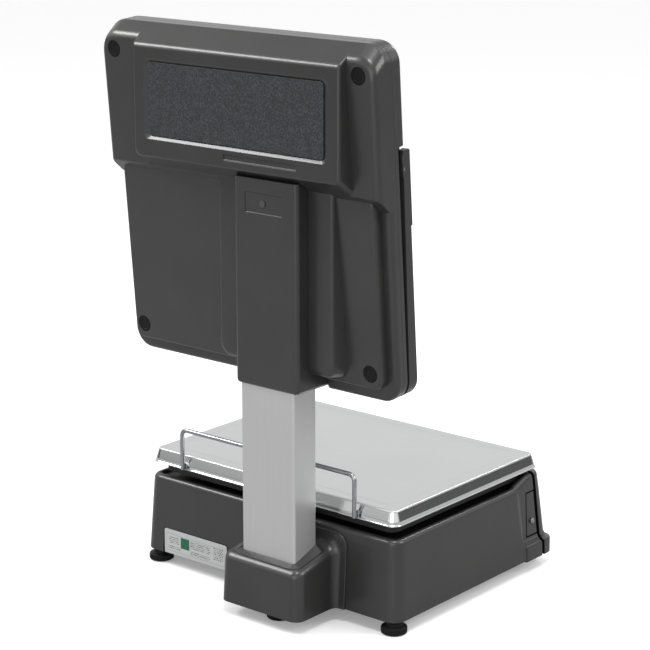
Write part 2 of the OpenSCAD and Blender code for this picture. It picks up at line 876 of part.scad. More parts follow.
module badge_pod(inset) {
  points = [[150, 672 - inset], [178, 672 - inset], [badge_face_y - inset, badge_z1 - inset],
            [badge_face_y - inset, badge_z0 + inset * 0.4], [165, 518 + inset], [150, 517 + inset]];
  hull() {
    along_x(badge_x0 + inset, badge_x1 - inset, points);
    along_x(badge_x0 - 4 + inset, badge_x1 + 4 - inset, [for (p = points) [min(p[0], 172), p[1]]]);
  }
}

module neck_block(inset) {
  hull() {
    translate([0, block_y - inset, 0]) rotate([90, 0, 0]) linear_extrude(height = eps)
      translate([(block_x0 + block_x1) / 2, (block_z0 + block_z1) / 2])
        rounded_outline(block_x1 - block_x0 - 2 * inset, block_z1 - block_z0 - 2 * inset, 10);
    translate([0, 136, 0]) rotate([90, 0, 0]) linear_extrude(height = eps)
      translate([(block_x0 + block_x1) / 2, (block_z0 + block_z1) / 2 - 5])
        rounded_outline(block_x1 - block_x0 + 18 - 2 * inset, block_z1 - block_z0 - 2 * inset, 10);
  }
}

module head_rear_cavity() {
  in_head() {
    head_slab(-head_half_w + shell, head_half_w - shell, shell, head_v - shell,
              head_corner_r - shell, -1, rim_w - shell);
    head_slab(-lower_half_w + shell, lower_half_w - shell, lower_v0 + shell, 236,
              8, rim_w - shell - 1, lower_w - shell);
    along_x(-head_half_w + 10, head_half_w - 10, [[-1, 236], [upper_w - shell - 6, 236],
      [upper_w - shell, 242], [upper_w - shell, 388], [9, head_v - 5], [-1, head_v - 5]]);
  }
  badge_pod(shell);
  neck_block(shell);
}

module head_rear_housing() {
  color([0.27, 0.27, 0.28]) difference() {
    union() {
      in_head() {
        head_rim();
        head_lower_plateau();
        head_upper_body();
      }
      badge_pod(0);
      neck_block(0);
    }
    head_rear_cavity();
    box([neck_x0 - 0.2, 100, 270], [neck_x1 + 0.2, 187, neck_z1 + 0.2]);
    box([panel_x0 - 0.2, badge_face_y - panel_depth, panel_z0 - 0.2],
        [panel_x1 + 0.2, badge_face_y + 5, panel_z1 + 0.2]);
    in_head() head_slab(-220, 220, -20, 430, 5, -40, 0);
    cap_wells(0.2);
  }
}

module cap_wells(grow) {
  in_head() for (sx = [-1, 1]) {
    translate([sx * 182.4, upper_w + 1, 374]) rotate([90, 0, 0]) cylinder(r = cap_r + grow, h = 2.6);
    translate([sx * 175, lower_w + 1, 36]) rotate([90, 0, 0]) cylinder(r = cap_r + grow, h = 2.6);
  }
}

module screw_caps() {
  color([0.05, 0.05, 0.055]) intersection() {
    cap_wells(0);
    in_head() {
      head_slab(-200, 200, 300, 400, 3, upper_w - 1.5, upper_w + 0.2);
      head_slab(-200, 200, 10, 60, 3, lower_w - 1.5, lower_w + 0.2);
    }
  }
}

module badge_panel() {
  color([0.25, 0.28, 0.31])
    translate([(panel_x0 + panel_x1) / 2, badge_face_y - 1, (panel_z0 + panel_z1) / 2])
      rotate([90, 0, 0]) linear_extrude(height = panel_depth - 1)
        rounded_outline(panel_x1 - panel_x0, panel_z1 - panel_z0, 4);
}

module neck_cover() {
  color([0.27, 0.27, 0.28]) difference() {
    box([neck_x0, 118, neck_z0], [neck_x1, neck_y1, neck_z1]);
    box([neck_x0 + neck_wall, 100, neck_z0 - 1], [neck_x1 - neck_wall, neck_y1 - neck_wall, neck_z1 - neck_wall]);
    in_head() head_slab(-220, 220, -60, 430, 5, -60, neck_inner_w);
    box([neck_plate_x0 - 0.2, neck_y1 - 1.2, neck_plate_z0 - 0.2],
        [neck_plate_x1 + 0.2, neck_y1 + 1, neck_plate_z1 + 0.2]);
    translate([-52.4, neck_y1 + 1, 499.8]) rotate([90, 0, 0]) cylinder(r = 2.1, h = 6);
  }
}

module neck_plate() {
  color([0.25, 0.25, 0.26]) difference() {
    box([neck_plate_x0, neck_y1 - 1.2, neck_plate_z0], [neck_plate_x1, neck_y1 - 0.4, neck_plate_z1]);
    translate([-52.4, neck_y1 + 1, 499.8]) rotate([90, 0, 0]) cylinder(r = 2.1, h = 6);
  }
}

module neck_screw() {
  color([0.3, 0.3, 0.3]) translate([-52.4, neck_y1 - 0.4, 499.8]) rotate([-90, 0, 0]) {
    cylinder(r = 4, h = 1);
    translate([0, 0, -2.2]) cylinder(r = 2, h = 2.3);
  }
}

module head_bracket() {
  color([0.6, 0.61, 0.62]) {
    in_head() head_slab(-150, 30, 20, 232, 6, 2, 4.5);
    difference() {
      for (x = [column_x - column_w / 2 - 2.6, column_x + column_w / 2 + 0.1])
        box([x, 120, 320], [x + 2.5, 176, 500]);
      in_head() head_slab(-220, 220, -60, 430, 5, -60, 4.4);
    }
  }
}

module head_board() {
  color([0.1, 0.35, 0.18]) in_head() {
    head_slab(50, 185, 60, 220, 2, 4, 5.6);
    head_slab(70, 100, 90, 120, 1, 5.5, 8.5);
    head_slab(120, 160, 150, 180, 1, 5.5, 12);
    for (x = [56, 179], v = [66, 214]) translate([x, 4 + eps, v]) rotate([90, 0, 0])
      cylinder(r = 3, h = 7.9);
  }
}

module front_housing_outer() {
  w = head_half_w;
  head_slab(-w, w, 0, head_v, head_corner_r, plate_front_w, -gap, $fn = fine_fn);
  difference() {
    hull() {
      head_slab(-w, w, 200, head_v, head_corner_r + 4, -12, -1, $fn = fine_fn);
      head_slab(-w + 2, w - 2, 200, head_v - 2, head_corner_r, -17, -17 + eps, $fn = fine_fn);
      head_slab(-w + 7, w - 7, 200, head_v - 7, head_corner_r - 5, front_w, front_w + eps,
                $fn = fine_fn);
    }
    head_slab(-220, 220, 150, face_v0, 1, -40, plate_front_w);
  }
  head_slab(-mid_half_w, mid_half_w, mid_v0, face_v0 + 2, 1, front_w, plate_front_w + 1);
}

module key_box(i, grow, w0, w1) {
  head_slab(key_x[i] - key_w / 2 - grow, key_x[i] + key_w / 2 + grow,
            key_v - key_h / 2 - grow, key_v + key_h / 2 + grow, 3, w0, w1);
}

module head_front_housing() {
  w = head_half_w - shell;
  color([0.27, 0.27, 0.28]) in_head() difference() {
    front_housing_outer();
    head_slab(-w, w, shell, head_v - shell, head_corner_r - shell, plate_front_w + shell, 5);
    head_slab(-w + 6, w - 6, mid_v0 + shell, head_v - 9, 12, front_w + shell, 5);
    head_slab(-display_half_w - 4, display_half_w + 4, display_v0 - 4, display_v1 + 4, 5,
              front_w - 1, front_w + 1.6);
    head_slab(-display_half_w, display_half_w, display_v0, display_v1, 3, front_w - 1, 0);
    for (i = [0 : 2]) key_box(i, 0.5, front_w - 1, front_w + shell + 1);
    for (sx = [-1, 1]) rod_x(pin_r + running, sx > 0 ? 185 : -205, sx > 0 ? 205 : -185,
                             hinge_w, hinge_v);
  }
}

module display_window() {
  color([0.08, 0.1, 0.12, 0.6]) in_head()
    head_slab(-display_half_w - 3.8, display_half_w + 3.8, display_v0 - 3.8, display_v1 + 3.8, 4.8,
              front_w + 0.1, front_w + 1.5);
}

module display_module() {
  color([0.15, 0.2, 0.18]) in_head() {
    head_slab(-display_half_w - 6, display_half_w + 6, display_v0 - 4, display_v1 + 8, 2, -10, -6);
    head_slab(-display_half_w + 1, display_half_w - 1, display_v0 + 1, display_v1 - 1, 1, -17, -9);
  }
}

module keyboard_panel() {
  key_cols = 10;
  key_rows = 6;
  pitch_x = 34.6;
  pitch_v = 33;
  color([0.75, 0.76, 0.76]) in_head() {
    head_slab(-176, 176, 28, 230, 6, -8.7, plate_front_w - 0.1);
    for (i = [0 : key_cols - 1], j = [0 : key_rows - 1])
      translate([(i - (key_cols - 1) / 2) * pitch_x, 0, 129 + (j - (key_rows - 1) / 2) * pitch_v])
        box([-15, -10.2, -14], [15, -8.6, 14]);
  }
}

module key_cap(i) {
  color([0.8, 0.8, 0.78]) in_head() {
    key_box(i, 0, front_w - 1.8, front_w + shell + 0.4);
    key_box(i, 2, front_w + shell + 0.3, front_w + shell + 1.8);
  }
}

module key_1() { key_cap(0); }
module key_2() { key_cap(1); }
module key_3() { key_cap(2); }

module ear_profile() {
  square_top = ear_v1 - 7;
  polygon([[-27.5, 240], [-14, 240], [-12.5, square_top - 3], [-14, square_top + 3.5],
           [-19.5, ear_v1], [-25.5, ear_v1], [-27.5, ear_v1 - 3]]);
}

module keyboard_frame() {
  w = head_half_w - 0.1;
  color([0.22, 0.22, 0.23]) in_head() difference() {
    union() {
      hull() {
        head_slab(-w, w, frame_v0, frame_v1, 22, -24, -10, $fn = fine_fn);
        head_slab(-w + 2, w - 2, frame_v0 + 2, frame_v1, 20, -26, -24, $fn = fine_fn);
      }
      for (x = [-ear_x1, ear_x0]) translate([x, 0, 0])
        rotate([90, 0, 90]) linear_extrude(height = ear_x1 - ear_x0) ear_profile();
    }
    along_x(-220, 220, [[0, -10], [-9, -10], [-9, 0], [-14.5, frame_v1 + 1], [0, frame_v1 + 1]]);
    head_slab(-window_half_w, window_half_w, window_v0, window_v1, 8, -40, 0);
    for (sx = [-1, 1]) rod_x(pin_r + running, sx > 0 ? 190 : -210, sx > 0 ? 210 : -190,
                             hinge_w, hinge_v);
    head_slab(-mid_half_w, mid_half_w, frame_v1 - 8, 300, 1, -40, 0);
  }
}

module frame_film() {
  color([0.85, 0.9, 0.92, 0.25]) in_head()
    head_slab(-window_half_w, window_half_w, window_v0, window_v1, 8, -19, -18.2);
}

module frame_pins() {
  color([0.7, 0.71, 0.72]) in_head() for (sx = [-1, 1])
    rod_x(pin_r, sx > 0 ? 186 : -203, sx > 0 ? 203 : -186, hinge_w, hinge_v);
}

base_housing();
base_plate();
front_bezel();
side_hatch();
hatch_screw();
rating_plate();
column_pod();
column();
column_bracket();
m6_screws();
foot_rear_left();
foot_rear_right();
foot_front_left();
foot_front_right();
foot_column();
foot_inserts();
load_cell();
load_cell_blocks();
overload_stops();
platter_carrier();
carrier_pads();
platter();
guard_rail();
level_body();
level_vial();
main_board();
power_supply();
power_inlet();
power_rocker();
drawer_rails();
drawer_chassis();
drawer_front();
peel_bar();
platen_roller();
platen_gear();
feed_motor();
motor_pinion();
print_head_lever();
print_head();
roll_core();
label_roll();
take_up_spool();
head_rear_housing();
badge_panel();
head_front_housing();
screw_caps();
neck_cover();
neck_plate();
neck_screw();
head_bracket();
head_board();
display_module();
display_window();
keyboard_panel();
keyboard_frame();
frame_film();
frame_pins();
key_1();
key_2();
key_3();
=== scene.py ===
import json
import math

import bmesh
import bpy
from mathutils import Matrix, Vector


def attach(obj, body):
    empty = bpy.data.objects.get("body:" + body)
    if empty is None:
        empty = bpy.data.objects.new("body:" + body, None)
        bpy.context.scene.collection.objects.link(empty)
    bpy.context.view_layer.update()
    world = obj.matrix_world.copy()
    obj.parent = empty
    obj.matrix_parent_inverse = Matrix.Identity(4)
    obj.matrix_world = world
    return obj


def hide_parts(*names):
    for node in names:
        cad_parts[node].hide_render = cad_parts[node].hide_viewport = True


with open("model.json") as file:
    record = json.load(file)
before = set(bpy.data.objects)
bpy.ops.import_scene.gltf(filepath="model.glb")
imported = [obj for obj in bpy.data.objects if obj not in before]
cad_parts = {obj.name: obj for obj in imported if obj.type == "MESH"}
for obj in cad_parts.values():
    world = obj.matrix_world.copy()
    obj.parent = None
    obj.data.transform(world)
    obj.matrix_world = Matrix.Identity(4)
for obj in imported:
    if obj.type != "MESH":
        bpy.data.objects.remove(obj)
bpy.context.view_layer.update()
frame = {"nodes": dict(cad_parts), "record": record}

scene = bpy.context.scene
nodes = frame["nodes"]
MM = 0.001

# ---------- shader nodes ----------

def set_inputs(target, **values):
    """Sets sockets by name, with _ for a space."""
    for key, value in values.items():
        target.inputs[key.replace("_", " ")].default_value = value


def node(tree, kind, **inputs):
    made = tree.nodes.new(kind)
    set_inputs(made, **inputs)
    return made


def color_mix(tree, **inputs):
    mix = tree.nodes.new("ShaderNodeMix")
    mix.data_type = "RGBA"
    set_inputs(mix, **inputs)
    return mix


# ---------- camera, floor and light ----------

CAMERA_AT = (-1.5536, 1.8878, 0.9575)
CAMERA_AIM = (0.0, 0.0125, 0.317)
LENS_MM = 115.09
LIGHT_AIM_Z = 0.4
WATTS_PER_GLOW = 4
AIR = 2.0
EYE_WHITE = 0.9


def aim(obj, target):
    obj.rotation_euler = (Vector(target) - obj.location).to_track_quat("-Z", "Y").to_euler()


def add_camera():
    data = bpy.data.cameras.new("camera")
    data.lens = LENS_MM
    data.sensor_width = 36.0
    data.clip_end = 60.0
    cam = bpy.data.objects.new("camera", data)
    scene.collection.objects.link(cam)
    cam.location = CAMERA_AT
    aim(cam, CAMERA_AIM)
    scene.camera = cam
    scene.view_settings.view_transform = "Standard"


def add_softbox(name, at, target, width, height, power):
    data = bpy.data.lights.new(name, "AREA")
    data.shape = "RECTANGLE"
    data.size, data.size_y = width, height
    data.energy = power
    lamp = bpy.data.objects.new(name, data)
    scene.collection.objects.link(lamp)
    lamp.location = at
    lamp.visible_camera = False
    aim(lamp, target)


def add_world(bands):
    """Studio air: bands of (height of the direction, brightness) for reflections, near white to the eye."""
    world = bpy.data.worlds.new("studio")
    world.use_nodes = True
    tree = world.node_tree
    where = tree.nodes.new("ShaderNodeTexCoord")
    split = tree.nodes.new("ShaderNodeSeparateXYZ")
    shade_band = tree.nodes.new("ShaderNodeValToRGB")
    band = shade_band.color_ramp
    for i, (height, value) in enumerate(bands):
        stop = band.elements[i] if i < 2 else band.elements.new(height)
        stop.position, stop.color = height, (value / AIR, value / AIR, value / AIR, 1)
    tree.links.new(where.outputs["Generated"], split.inputs[0])
    tree.links.new(split.outputs["Z"], shade_band.inputs["Fac"])
    seen = tree.nodes.new("ShaderNodeLightPath")
    mix = color_mix(tree, B=(*[EYE_WHITE / AIR] * 3, 1))
    tree.links.new(seen.outputs["Is Camera Ray"], mix.inputs["Factor"])
    tree.links.new(shade_band.outputs["Color"], mix.inputs["A"])
    tree.links.new(mix.outputs["Result"], tree.nodes["Background"].inputs["Color"])
    tree.nodes["Background"].inputs["Strength"].default_value = AIR
    scene.world = world


def floor_material():
    """Matt white paper that glows a little to the eye, and mid grey paper to reflections."""
    mat = bpy.data.materials.new("floor")
    mat.use_nodes = True
    tree = mat.node_tree
    shader = tree.nodes["Principled BSDF"]
    set_inputs(shader, Roughness=0.9, Specular_IOR_Level=0.1, Emission_Color=(0.2, 0.2, 0.2, 1))
    seen = tree.nodes.new("ShaderNodeLightPath")
    mix = color_mix(tree, A=(0.38, 0.38, 0.38, 1), B=(0.92, 0.92, 0.92, 1))
    tree.links.new(seen.outputs["Is Camera Ray"], mix.inputs["Factor"])
    tree.links.new(mix.outputs["Result"], shader.inputs["Base Color"])
    tree.links.new(seen.outputs["Is Camera Ray"], shader.inputs["Emission Strength"])
    return mat


# ---------- outlines and lofts, in millimetres ----------

def rounded_rect(a0, a1, b0, b1, radii, steps=6):
    """Counter-clockwise outline; radii go a0b0, a1b0, a1b1, a0b1, or one for all."""
    if not hasattr(radii, "__len__"):
        radii = (radii,) * 4
    points = []
    corners = ((a0, b0, 180), (a1, b0, 270), (a1, b1, 0), (a0, b1, 90))
    for (a, b, start), r in zip(corners, radii):
        r = max(r, 0.02)
        ca = a + r if a == a0 else a - r
        cb = b + r if b == b0 else b - r
        for i in range(steps + 1):
            t = math.radians(start + 90 * i / steps)
            points.append((ca + r * math.cos(t), cb + r * math.sin(t)))
    return points


def circle(radius, steps=48, wave=0.0, lobes=1):
    return [((radius + wave * math.cos(lobes * 2 * math.pi * i / steps)) * math.cos(2 * math.pi * i / steps),
             (radius + wave * math.cos(lobes * 2 * math.pi * i / steps)) * math.sin(2 * math.pi * i / steps))
            for i in range(steps)]


def round_corners(points, radii, steps=8):
    """Open polyline with its inner corners rounded."""
    out = [points[0]]
    for before, at, after, r in zip(points, points[1:], points[2:], radii):
        p, a, b = Vector(at), Vector(before), Vector(after)
        u, v = (a - p).normalized(), (b - p).normalized()
        half = math.acos(max(-1, min(1, u.dot(v)))) / 2
        reach = min(r / math.tan(half), 0.49 * (a - p).length, 0.49 * (b - p).length)
        r = reach * math.tan(half)
        centre = p + (u + v).normalized() * (r / math.sin(half))
        start, end = p + u * reach - centre, p + v * reach - centre
        turn = math.atan2(start.x * end.y - start.y * end.x, start.dot(end))
        for i in range(steps + 1):
            c, s = math.cos(turn * i / steps), math.sin(turn * i / steps)
            out.append((centre.x + start.x * c - start.y * s, centre.y + start.x * s + start.y * c))
    out.append(points[-1])
    return out


def read_off(line, at):
    """Value of a polyline of (key, value) pairs at a key, the keys rising."""
    for (k0, v0), (k1, v1) in zip(line, line[1:]):
        if k0 <= at <= k1:
            return v0 if k1 - k0 < 1e-9 else v0 + (v1 - v0) * (at - k0) / (k1 - k0)
    return line[0][1] if at < line[0][0] else line[-1][1]


def fillet(radius, steps=5):
    """(inset, rise) pairs of a quarter round, from the wall to the face."""
    return [(radius * (1 - math.cos(math.pi / 2 * i / steps)), radius * math.sin(math.pi / 2 * i / steps))
            for i in range(steps + 1)]


def link(name, bm):
    bmesh.ops.remove_doubles(bm, verts=bm.verts, dist=1e-6)
    bmesh.ops.recalc_face_normals(bm, faces=bm.faces)
    mesh = bpy.data.meshes.new(name)
    bm.to_mesh(mesh)
    bm.free()
    obj = bpy.data.objects.new(name, mesh)
    scene.collection.objects.link(obj)
    return obj


def loft(name, loops, place=None):
    """Closed solid through loops of equal length, in millimetres; place maps a point."""
    bm = bmesh.new()
    rings = [[bm.verts.new(Vector(place(*p) if place else p) * MM) for p in loop] for loop in loops]
    n = len(rings[0])
    for low, high in zip(rings, rings[1:]):
        for i in range(n):
            j = (i + 1) % n
            bm.faces.new((low[i], low[j], high[j], high[i]))
    bm.faces.new(list(reversed(rings[0])))
    bm.faces.new(rings[-1])
    return link(name, bm)


def box(name, lo, hi):
    ring = [(lo[0], lo[1]), (hi[0], lo[1]), (hi[0], hi[1]), (lo[0], hi[1])]
    return loft(name, [[(x, y, z) for x, y in ring] for z in (lo[2], hi[2])])


def rod(name, centre, axis, radius, start, end):
    """Cylinder along x, y or z from start to end."""
    loops = []
    for t in (start, end):
        ring = []
        for a, b in circle(radius, 40):
            p = {"x": (t, centre[0] + a, centre[1] + b), "y": (centre[0] + a, t, centre[1] + b),
                 "z": (centre[0] + a, centre[1] + b, t)}[axis]
            ring.append(p)
        loops.append(ring)
    return loft(name, loops)


def combine(obj, tools, how):
    for tool in tools:
        mod = obj.modifiers.new("combine", "BOOLEAN")
        mod.operation = how
        mod.solver = "EXACT"
        mod.object = tool
        bake_modifiers(obj)
        bpy.data.objects.remove(tool)
    return obj


def bake_modifiers(obj):
    bpy.context.view_layer.update()
    shaped = obj.evaluated_get(bpy.context.evaluated_depsgraph_get())
    mesh = bpy.data.meshes.new_from_object(shaped)
    obj.modifiers.clear()
    old = obj.data
    obj.data = mesh
    bpy.data.meshes.remove(old)


def soften(obj, width, segments=2, angle=40):
    mod = obj.modifiers.new("soften", "BEVEL")
    mod.width = width * MM
    mod.segments = segments
    mod.limit_method = "ANGLE"
    mod.angle_limit = math.radians(angle)
    mod.use_clamp_overlap = True
    bake_modifiers(obj)
    return obj


def shade(obj, angle=32):
    obj.data.shade_smooth()
    obj.data.set_sharp_from_angle(angle=math.radians(angle))
    mod = obj.modifiers.new("even shading", "WEIGHTED_NORMAL")
    mod.mode = "FACE_AREA"
    mod.weight = 80
    mod.keep_sharp = True


def dress(obj, name, body, material, replaced=(), angle=32):
    obj.name = name
    obj.data.name = name
    shade(obj, angle)
    obj.data.materials.clear()
    obj.data.materials.append(material)
    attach(obj, body)
    if replaced:
        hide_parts(*replaced)
    return obj


def paint_shade_black(obj, chosen):
    """Painted shade: plain black on the faces that chosen(centre in mm, normal) picks, such as a seam's
    inside.
    """
    obj.data.materials.append(BLACK)
    for face in obj.data.polygons:
        if chosen(face.center / MM, face.normal):
            face.material_index = 1


# ---------- materials ----------

def new_material(name, color, roughness, metallic=0.0, coat=0.0, coat_roughness=0.1):
    mat = bpy.data.materials.new(name)
    mat.use_nodes = True
    shader = mat.node_tree.nodes["Principled BSDF"]
    set_inputs(shader, Base_Color=(*color, 1), Roughness=roughness, Metallic=metallic, Coat_Weight=coat,
               Coat_Roughness=coat_roughness)
    return mat, mat.node_tree, shader


def scaled_coordinates(tree, scale):
    where = tree.nodes.new("ShaderNodeTexCoord")
    mapping = node(tree, "ShaderNodeMapping", Scale=scale)
    tree.links.new(where.outputs["Object"], mapping.inputs["Vector"])
    return mapping.outputs["Vector"]


def noise(tree, vector, scale, detail=3.0, roughness=0.55):
    made = node(tree, "ShaderNodeTexNoise", Scale=scale, Detail=detail, Roughness=roughness)
    tree.links.new(vector, made.inputs["Vector"])
    return made.outputs["Fac"]


def ramp(tree, value, stops):
    made = tree.nodes.new("ShaderNodeValToRGB")
    band = made.color_ramp
    band.elements[0].position, band.elements[0].color = stops[0][0], (*stops[0][1], 1)
    band.elements[1].position, band.elements[1].color = stops[-1][0], (*stops[-1][1], 1)
    for position, color in stops[1:-1]:
        extra = band.elements.new(position)
        extra.color = (*color, 1)
    tree.links.new(value, made.inputs["Fac"])
    return made.outputs["Color"]


def spread(tree, value, low, high):
    made = node(tree, "ShaderNodeMapRange", To_Min=low, To_Max=high)
    tree.links.new(value, made.inputs["Value"])
    return made.outputs["Result"]


def weighted_sum(tree, first, weight, second):
    """first * weight + second."""
    made = tree.nodes.new("ShaderNodeMath")
    made.operation = "MULTIPLY_ADD"
    tree.links.new(first, made.inputs[0])
    made.inputs[1].default_value = weight
    tree.links.new(second, made.inputs[2])
    return made.outputs[0]


def bump(tree, shader, height, strength, distance):
    made = node(tree, "ShaderNodeBump", Strength=strength, Distance=distance)
    tree.links.new(height, made.inputs["Height"])
    tree.links.new(made.outputs["Normal"], shader.inputs["Normal"])


def tint(color, factor):
    return tuple(min(1.0, c * factor) for c in color)


def moulded(name, color, roughness, metallic=0.0, grain=1400.0, depth=0.00003, mottle=0.12,
            coat=0.0, coat_roughness=0.25, specular=0.5):
    """Moulded or painted plastic: fine spark-eroded grain, soft mottling, uneven gloss."""
    mat, tree, shader = new_material(name, color, roughness, metallic, coat, coat_roughness)
    shader.inputs["Specular IOR Level"].default_value = specular
    where = scaled_coordinates(tree, (1, 1, 1))
    broad = noise(tree, where, 14.0, 4.0)
    fine = noise(tree, where, grain, 2.0)
    color_out = ramp(tree, weighted_sum(tree, fine, 0.5, broad),
                     [(0.45, tint(color, 1 - mottle)), (1.05, tint(color, 1 + mottle))])
    tree.links.new(color_out, shader.inputs["Base Color"])
    tree.links.new(spread(tree, fine, roughness - 0.05, roughness + 0.07), shader.inputs["Roughness"])
    bump(tree, shader, fine, 0.35, depth)
    return mat


def brushed(name, color, roughness, stretch, strength=0.15, variation=0.06, metallic=1.0):
    """Brushed metal: hairlines drawn out along the axis where stretch is small."""
    mat, tree, shader = new_material(name, color, roughness, metallic)
    lines = noise(tree, scaled_coordinates(tree, stretch), 1.0, 4.0, 0.65)
    broad = noise(tree, scaled_coordinates(tree, (1, 1, 1)), 9.0, 2.0)
    color_out = ramp(tree, lines, [(0.3, tint(color, 1 - variation)), (0.7, tint(color, 1 + variation))])
    tree.links.new(color_out, shader.inputs["Base Color"])
    uneven = spread(tree, weighted_sum(tree, lines, 0.6, broad), roughness - 0.06, roughness + 0.06)
    tree.links.new(uneven, shader.inputs["Roughness"])
    bump(tree, shader, lines, strength, 0.00002)
    return mat


def speckled(name, color, fleck, roughness):
    """Screen-printed film with fine light and dark flecks."""
    mat, tree, shader = new_material(name, color, roughness)
    where = scaled_coordinates(tree, (1, 1, 1))
    flecks = noise(tree, where, 620.0, 4.0, 0.8)
    tree.links.new(ramp(tree, flecks, [(0.36, tint(color, 0.45)), (0.5, color), (0.66, fleck)]),
                   shader.inputs["Base Color"])
    bump(tree, shader, flecks, 0.25, 0.00002)
    return mat


def inside(tree, where, centre, half):
    """1 inside a rectangle in x and z, 0 outside, in metres."""
    split = tree.nodes.new("ShaderNodeSeparateXYZ")
    tree.links.new(where, split.inputs[0])
    parts = []
    for axis, c, h in (("X", centre[0], half[0]), ("Z", centre[1], half[1])):
        off = tree.nodes.new("ShaderNodeMath")
        off.operation = "COMPARE"
        tree.links.new(split.outputs[axis], off.inputs[0])
        off.inputs[1].default_value = c
        off.inputs[2].default_value = h
        parts.append(off.outputs[0])
    both = tree.nodes.new("ShaderNodeMath")
    both.operation = "MULTIPLY"
    tree.links.new(parts[0], both.inputs[0])
    tree.links.new(parts[1], both.inputs[1])
    return both.outputs[0]


def over(tree, under, color, mask):
    """Paints a colour, fixed or from a node, over the one coming in, where mask is 1."""
    mix = color_mix(tree)
    tree.links.new(mask, mix.inputs["Factor"])
    tree.links.new(under, mix.inputs["A"])
    if isinstance(color, tuple):
        mix.inputs["B"].default_value = (*color, 1)
    else:
        tree.links.new(color, mix.inputs["B"])
    return mix.outputs["Result"]


def bricks(tree, where, shift, offset, **inputs):
    """Brick pattern laid in the x-z plane, shift metres up."""
    pattern = node(tree, "ShaderNodeTexBrick", Scale=1.0, **inputs)
    pattern.offset = offset
    upright = node(tree, "ShaderNodeMapping", Rotation=(math.radians(-90), 0, 0), Location=(0, shift, 0))
    tree.links.new(where, upright.inputs["Vector"])
    tree.links.new(upright.outputs["Vector"], pattern.inputs["Vector"])
    return pattern


def see_through(mat, cover):
    mat.node_tree.nodes["Principled BSDF"].inputs["Alpha"].default_value = cover
    return mat


def lcd_material():
    """Grey-green display: a fine cell grid and three blank fields, no figures."""
    mat, tree, shader = new_material("display_cells", (0.2, 0.27, 0.2), 0.3)
    where = scaled_coordinates(tree, (1, 1, 1))
    grid = bricks(tree, where, 0, 0.0, Brick_Width=0.0016, Row_Height=0.0016, Mortar_Size=0.0002,
                  Color1=(0.2, 0.27, 0.2, 1), Color2=(0.17, 0.235, 0.175, 1), Mortar=(0.3, 0.37, 0.29, 1))
    color = grid.outputs["Color"]
    for x, half in ((-0.092, 0.038), (0.0, 0.044), (0.092, 0.038)):
        color = over(tree, color, (0.03, 0.045, 0.035), inside(tree, where, (x, 0.628), (half, 0.0262)))
        color = over(tree, color, (0.25, 0.33, 0.24), inside(tree, where, (x, 0.628), (half - 0.0012, 0.025)))
    tree.links.new(color, shader.inputs["Base Color"])
    tree.links.new(color, shader.inputs["Emission Color"])
    shader.inputs["Emission Strength"].default_value = 0.5
    bump(tree, shader, noise(tree, where, 900.0), 0.1, 0.00001)
    return mat


HOUSING = moulded("housing_plastic", (0.038, 0.0375, 0.037), 0.38, 0.35, coat=0.5, coat_roughness=0.2,
                  specular=0.55)
FRAME_GREY = moulded("frame_plastic", (0.038, 0.038, 0.038), 0.42, 0.3, coat=0.3, coat_roughness=0.3)
BLACK = moulded("black_plastic", (0.006, 0.006, 0.0065), 0.42, mottle=0.2, specular=0.2)
RUBBER = moulded("black_rubber", (0.008, 0.008, 0.0085), 0.5, grain=900.0, mottle=0.2, specular=0.25)
BLACK_STEEL = moulded("black_steel", (0.012, 0.012, 0.013), 0.55, grain=700.0)
COLUMN_METAL = brushed("aluminium_satin", (0.63, 0.63, 0.63), 0.4, (2600, 2600, 6), 0.2, 0.05, 0.75)
PLATTER_METAL = brushed("stainless_platter", (0.74, 0.745, 0.75), 0.3, (8, 1800, 1800), 0.12, 0.04)
WIRE_METAL = brushed("stainless_wire", (0.4, 0.41, 0.42), 0.22, (300, 900, 900), 0.05, 0.05)
ZINC = brushed("zinc_steel", (0.5, 0.51, 0.53), 0.38, (120, 130, 110), 0.1, 0.12)
CELL_METAL = brushed("machined_aluminium", (0.66, 0.67, 0.68), 0.34, (30, 900, 900), 0.12, 0.06)
BRASS = brushed("brass", (0.72, 0.55, 0.25), 0.3, (400, 400, 40), 0.1, 0.08)
GREY_STEEL = moulded("grey_steel", (0.16, 0.165, 0.17), 0.45, 0.3, grain=900.0)
MOTOR = moulded("motor_black", (0.02, 0.02, 0.021), 0.4, grain=900.0)
BOARD = moulded("circuit_board", (0.02, 0.13, 0.05), 0.3, grain=500.0, mottle=0.35)
BLUE = moulded("blue_plastic", (0.04, 0.15, 0.42), 0.35)
RED = moulded("red_rocker", (0.5, 0.02, 0.015), 0.3)
PAPER = moulded("paper", (0.82, 0.82, 0.79), 0.8, grain=2200.0, mottle=0.05)
ACETAL = moulded("white_gear", (0.75, 0.75, 0.7), 0.35, mottle=0.05)
FLUID = moulded("level_fluid", (0.45, 0.7, 0.12), 0.12, mottle=0.1)
BADGE = speckled("badge_film", (0.024, 0.0275, 0.031), (0.075, 0.082, 0.09), 0.45)
LOCK = brushed("lock_metal", (0.16, 0.16, 0.165), 0.35, (900, 900, 900), 0.05, 0.2)
KEY_GREY = moulded("key_grey", (0.52, 0.52, 0.51), 0.5, mottle=0.06)
DISPLAY = lcd_material()
GLASS_DARK = see_through(moulded("smoked_window", (0.012, 0.014, 0.016), 0.08, mottle=0.2, depth=0.000002),
                         0.35)
CLEAR = see_through(moulded("clear_film", (0.6, 0.62, 0.62), 0.12, mottle=0.1, depth=0.000002), 0.14)

# ---------- head, in its own frame: x across, w out of the rear, v up ----------

TILT = math.radians(4.57)
HEAD_Y, HEAD_Z = 118.3, 282.6
HALF_W, HEAD_V = 204.0, 405.7
RIM_W, LOWER_W, UPPER_W = 12.0, 24.0, 30.0
CORNER_R = 24.0


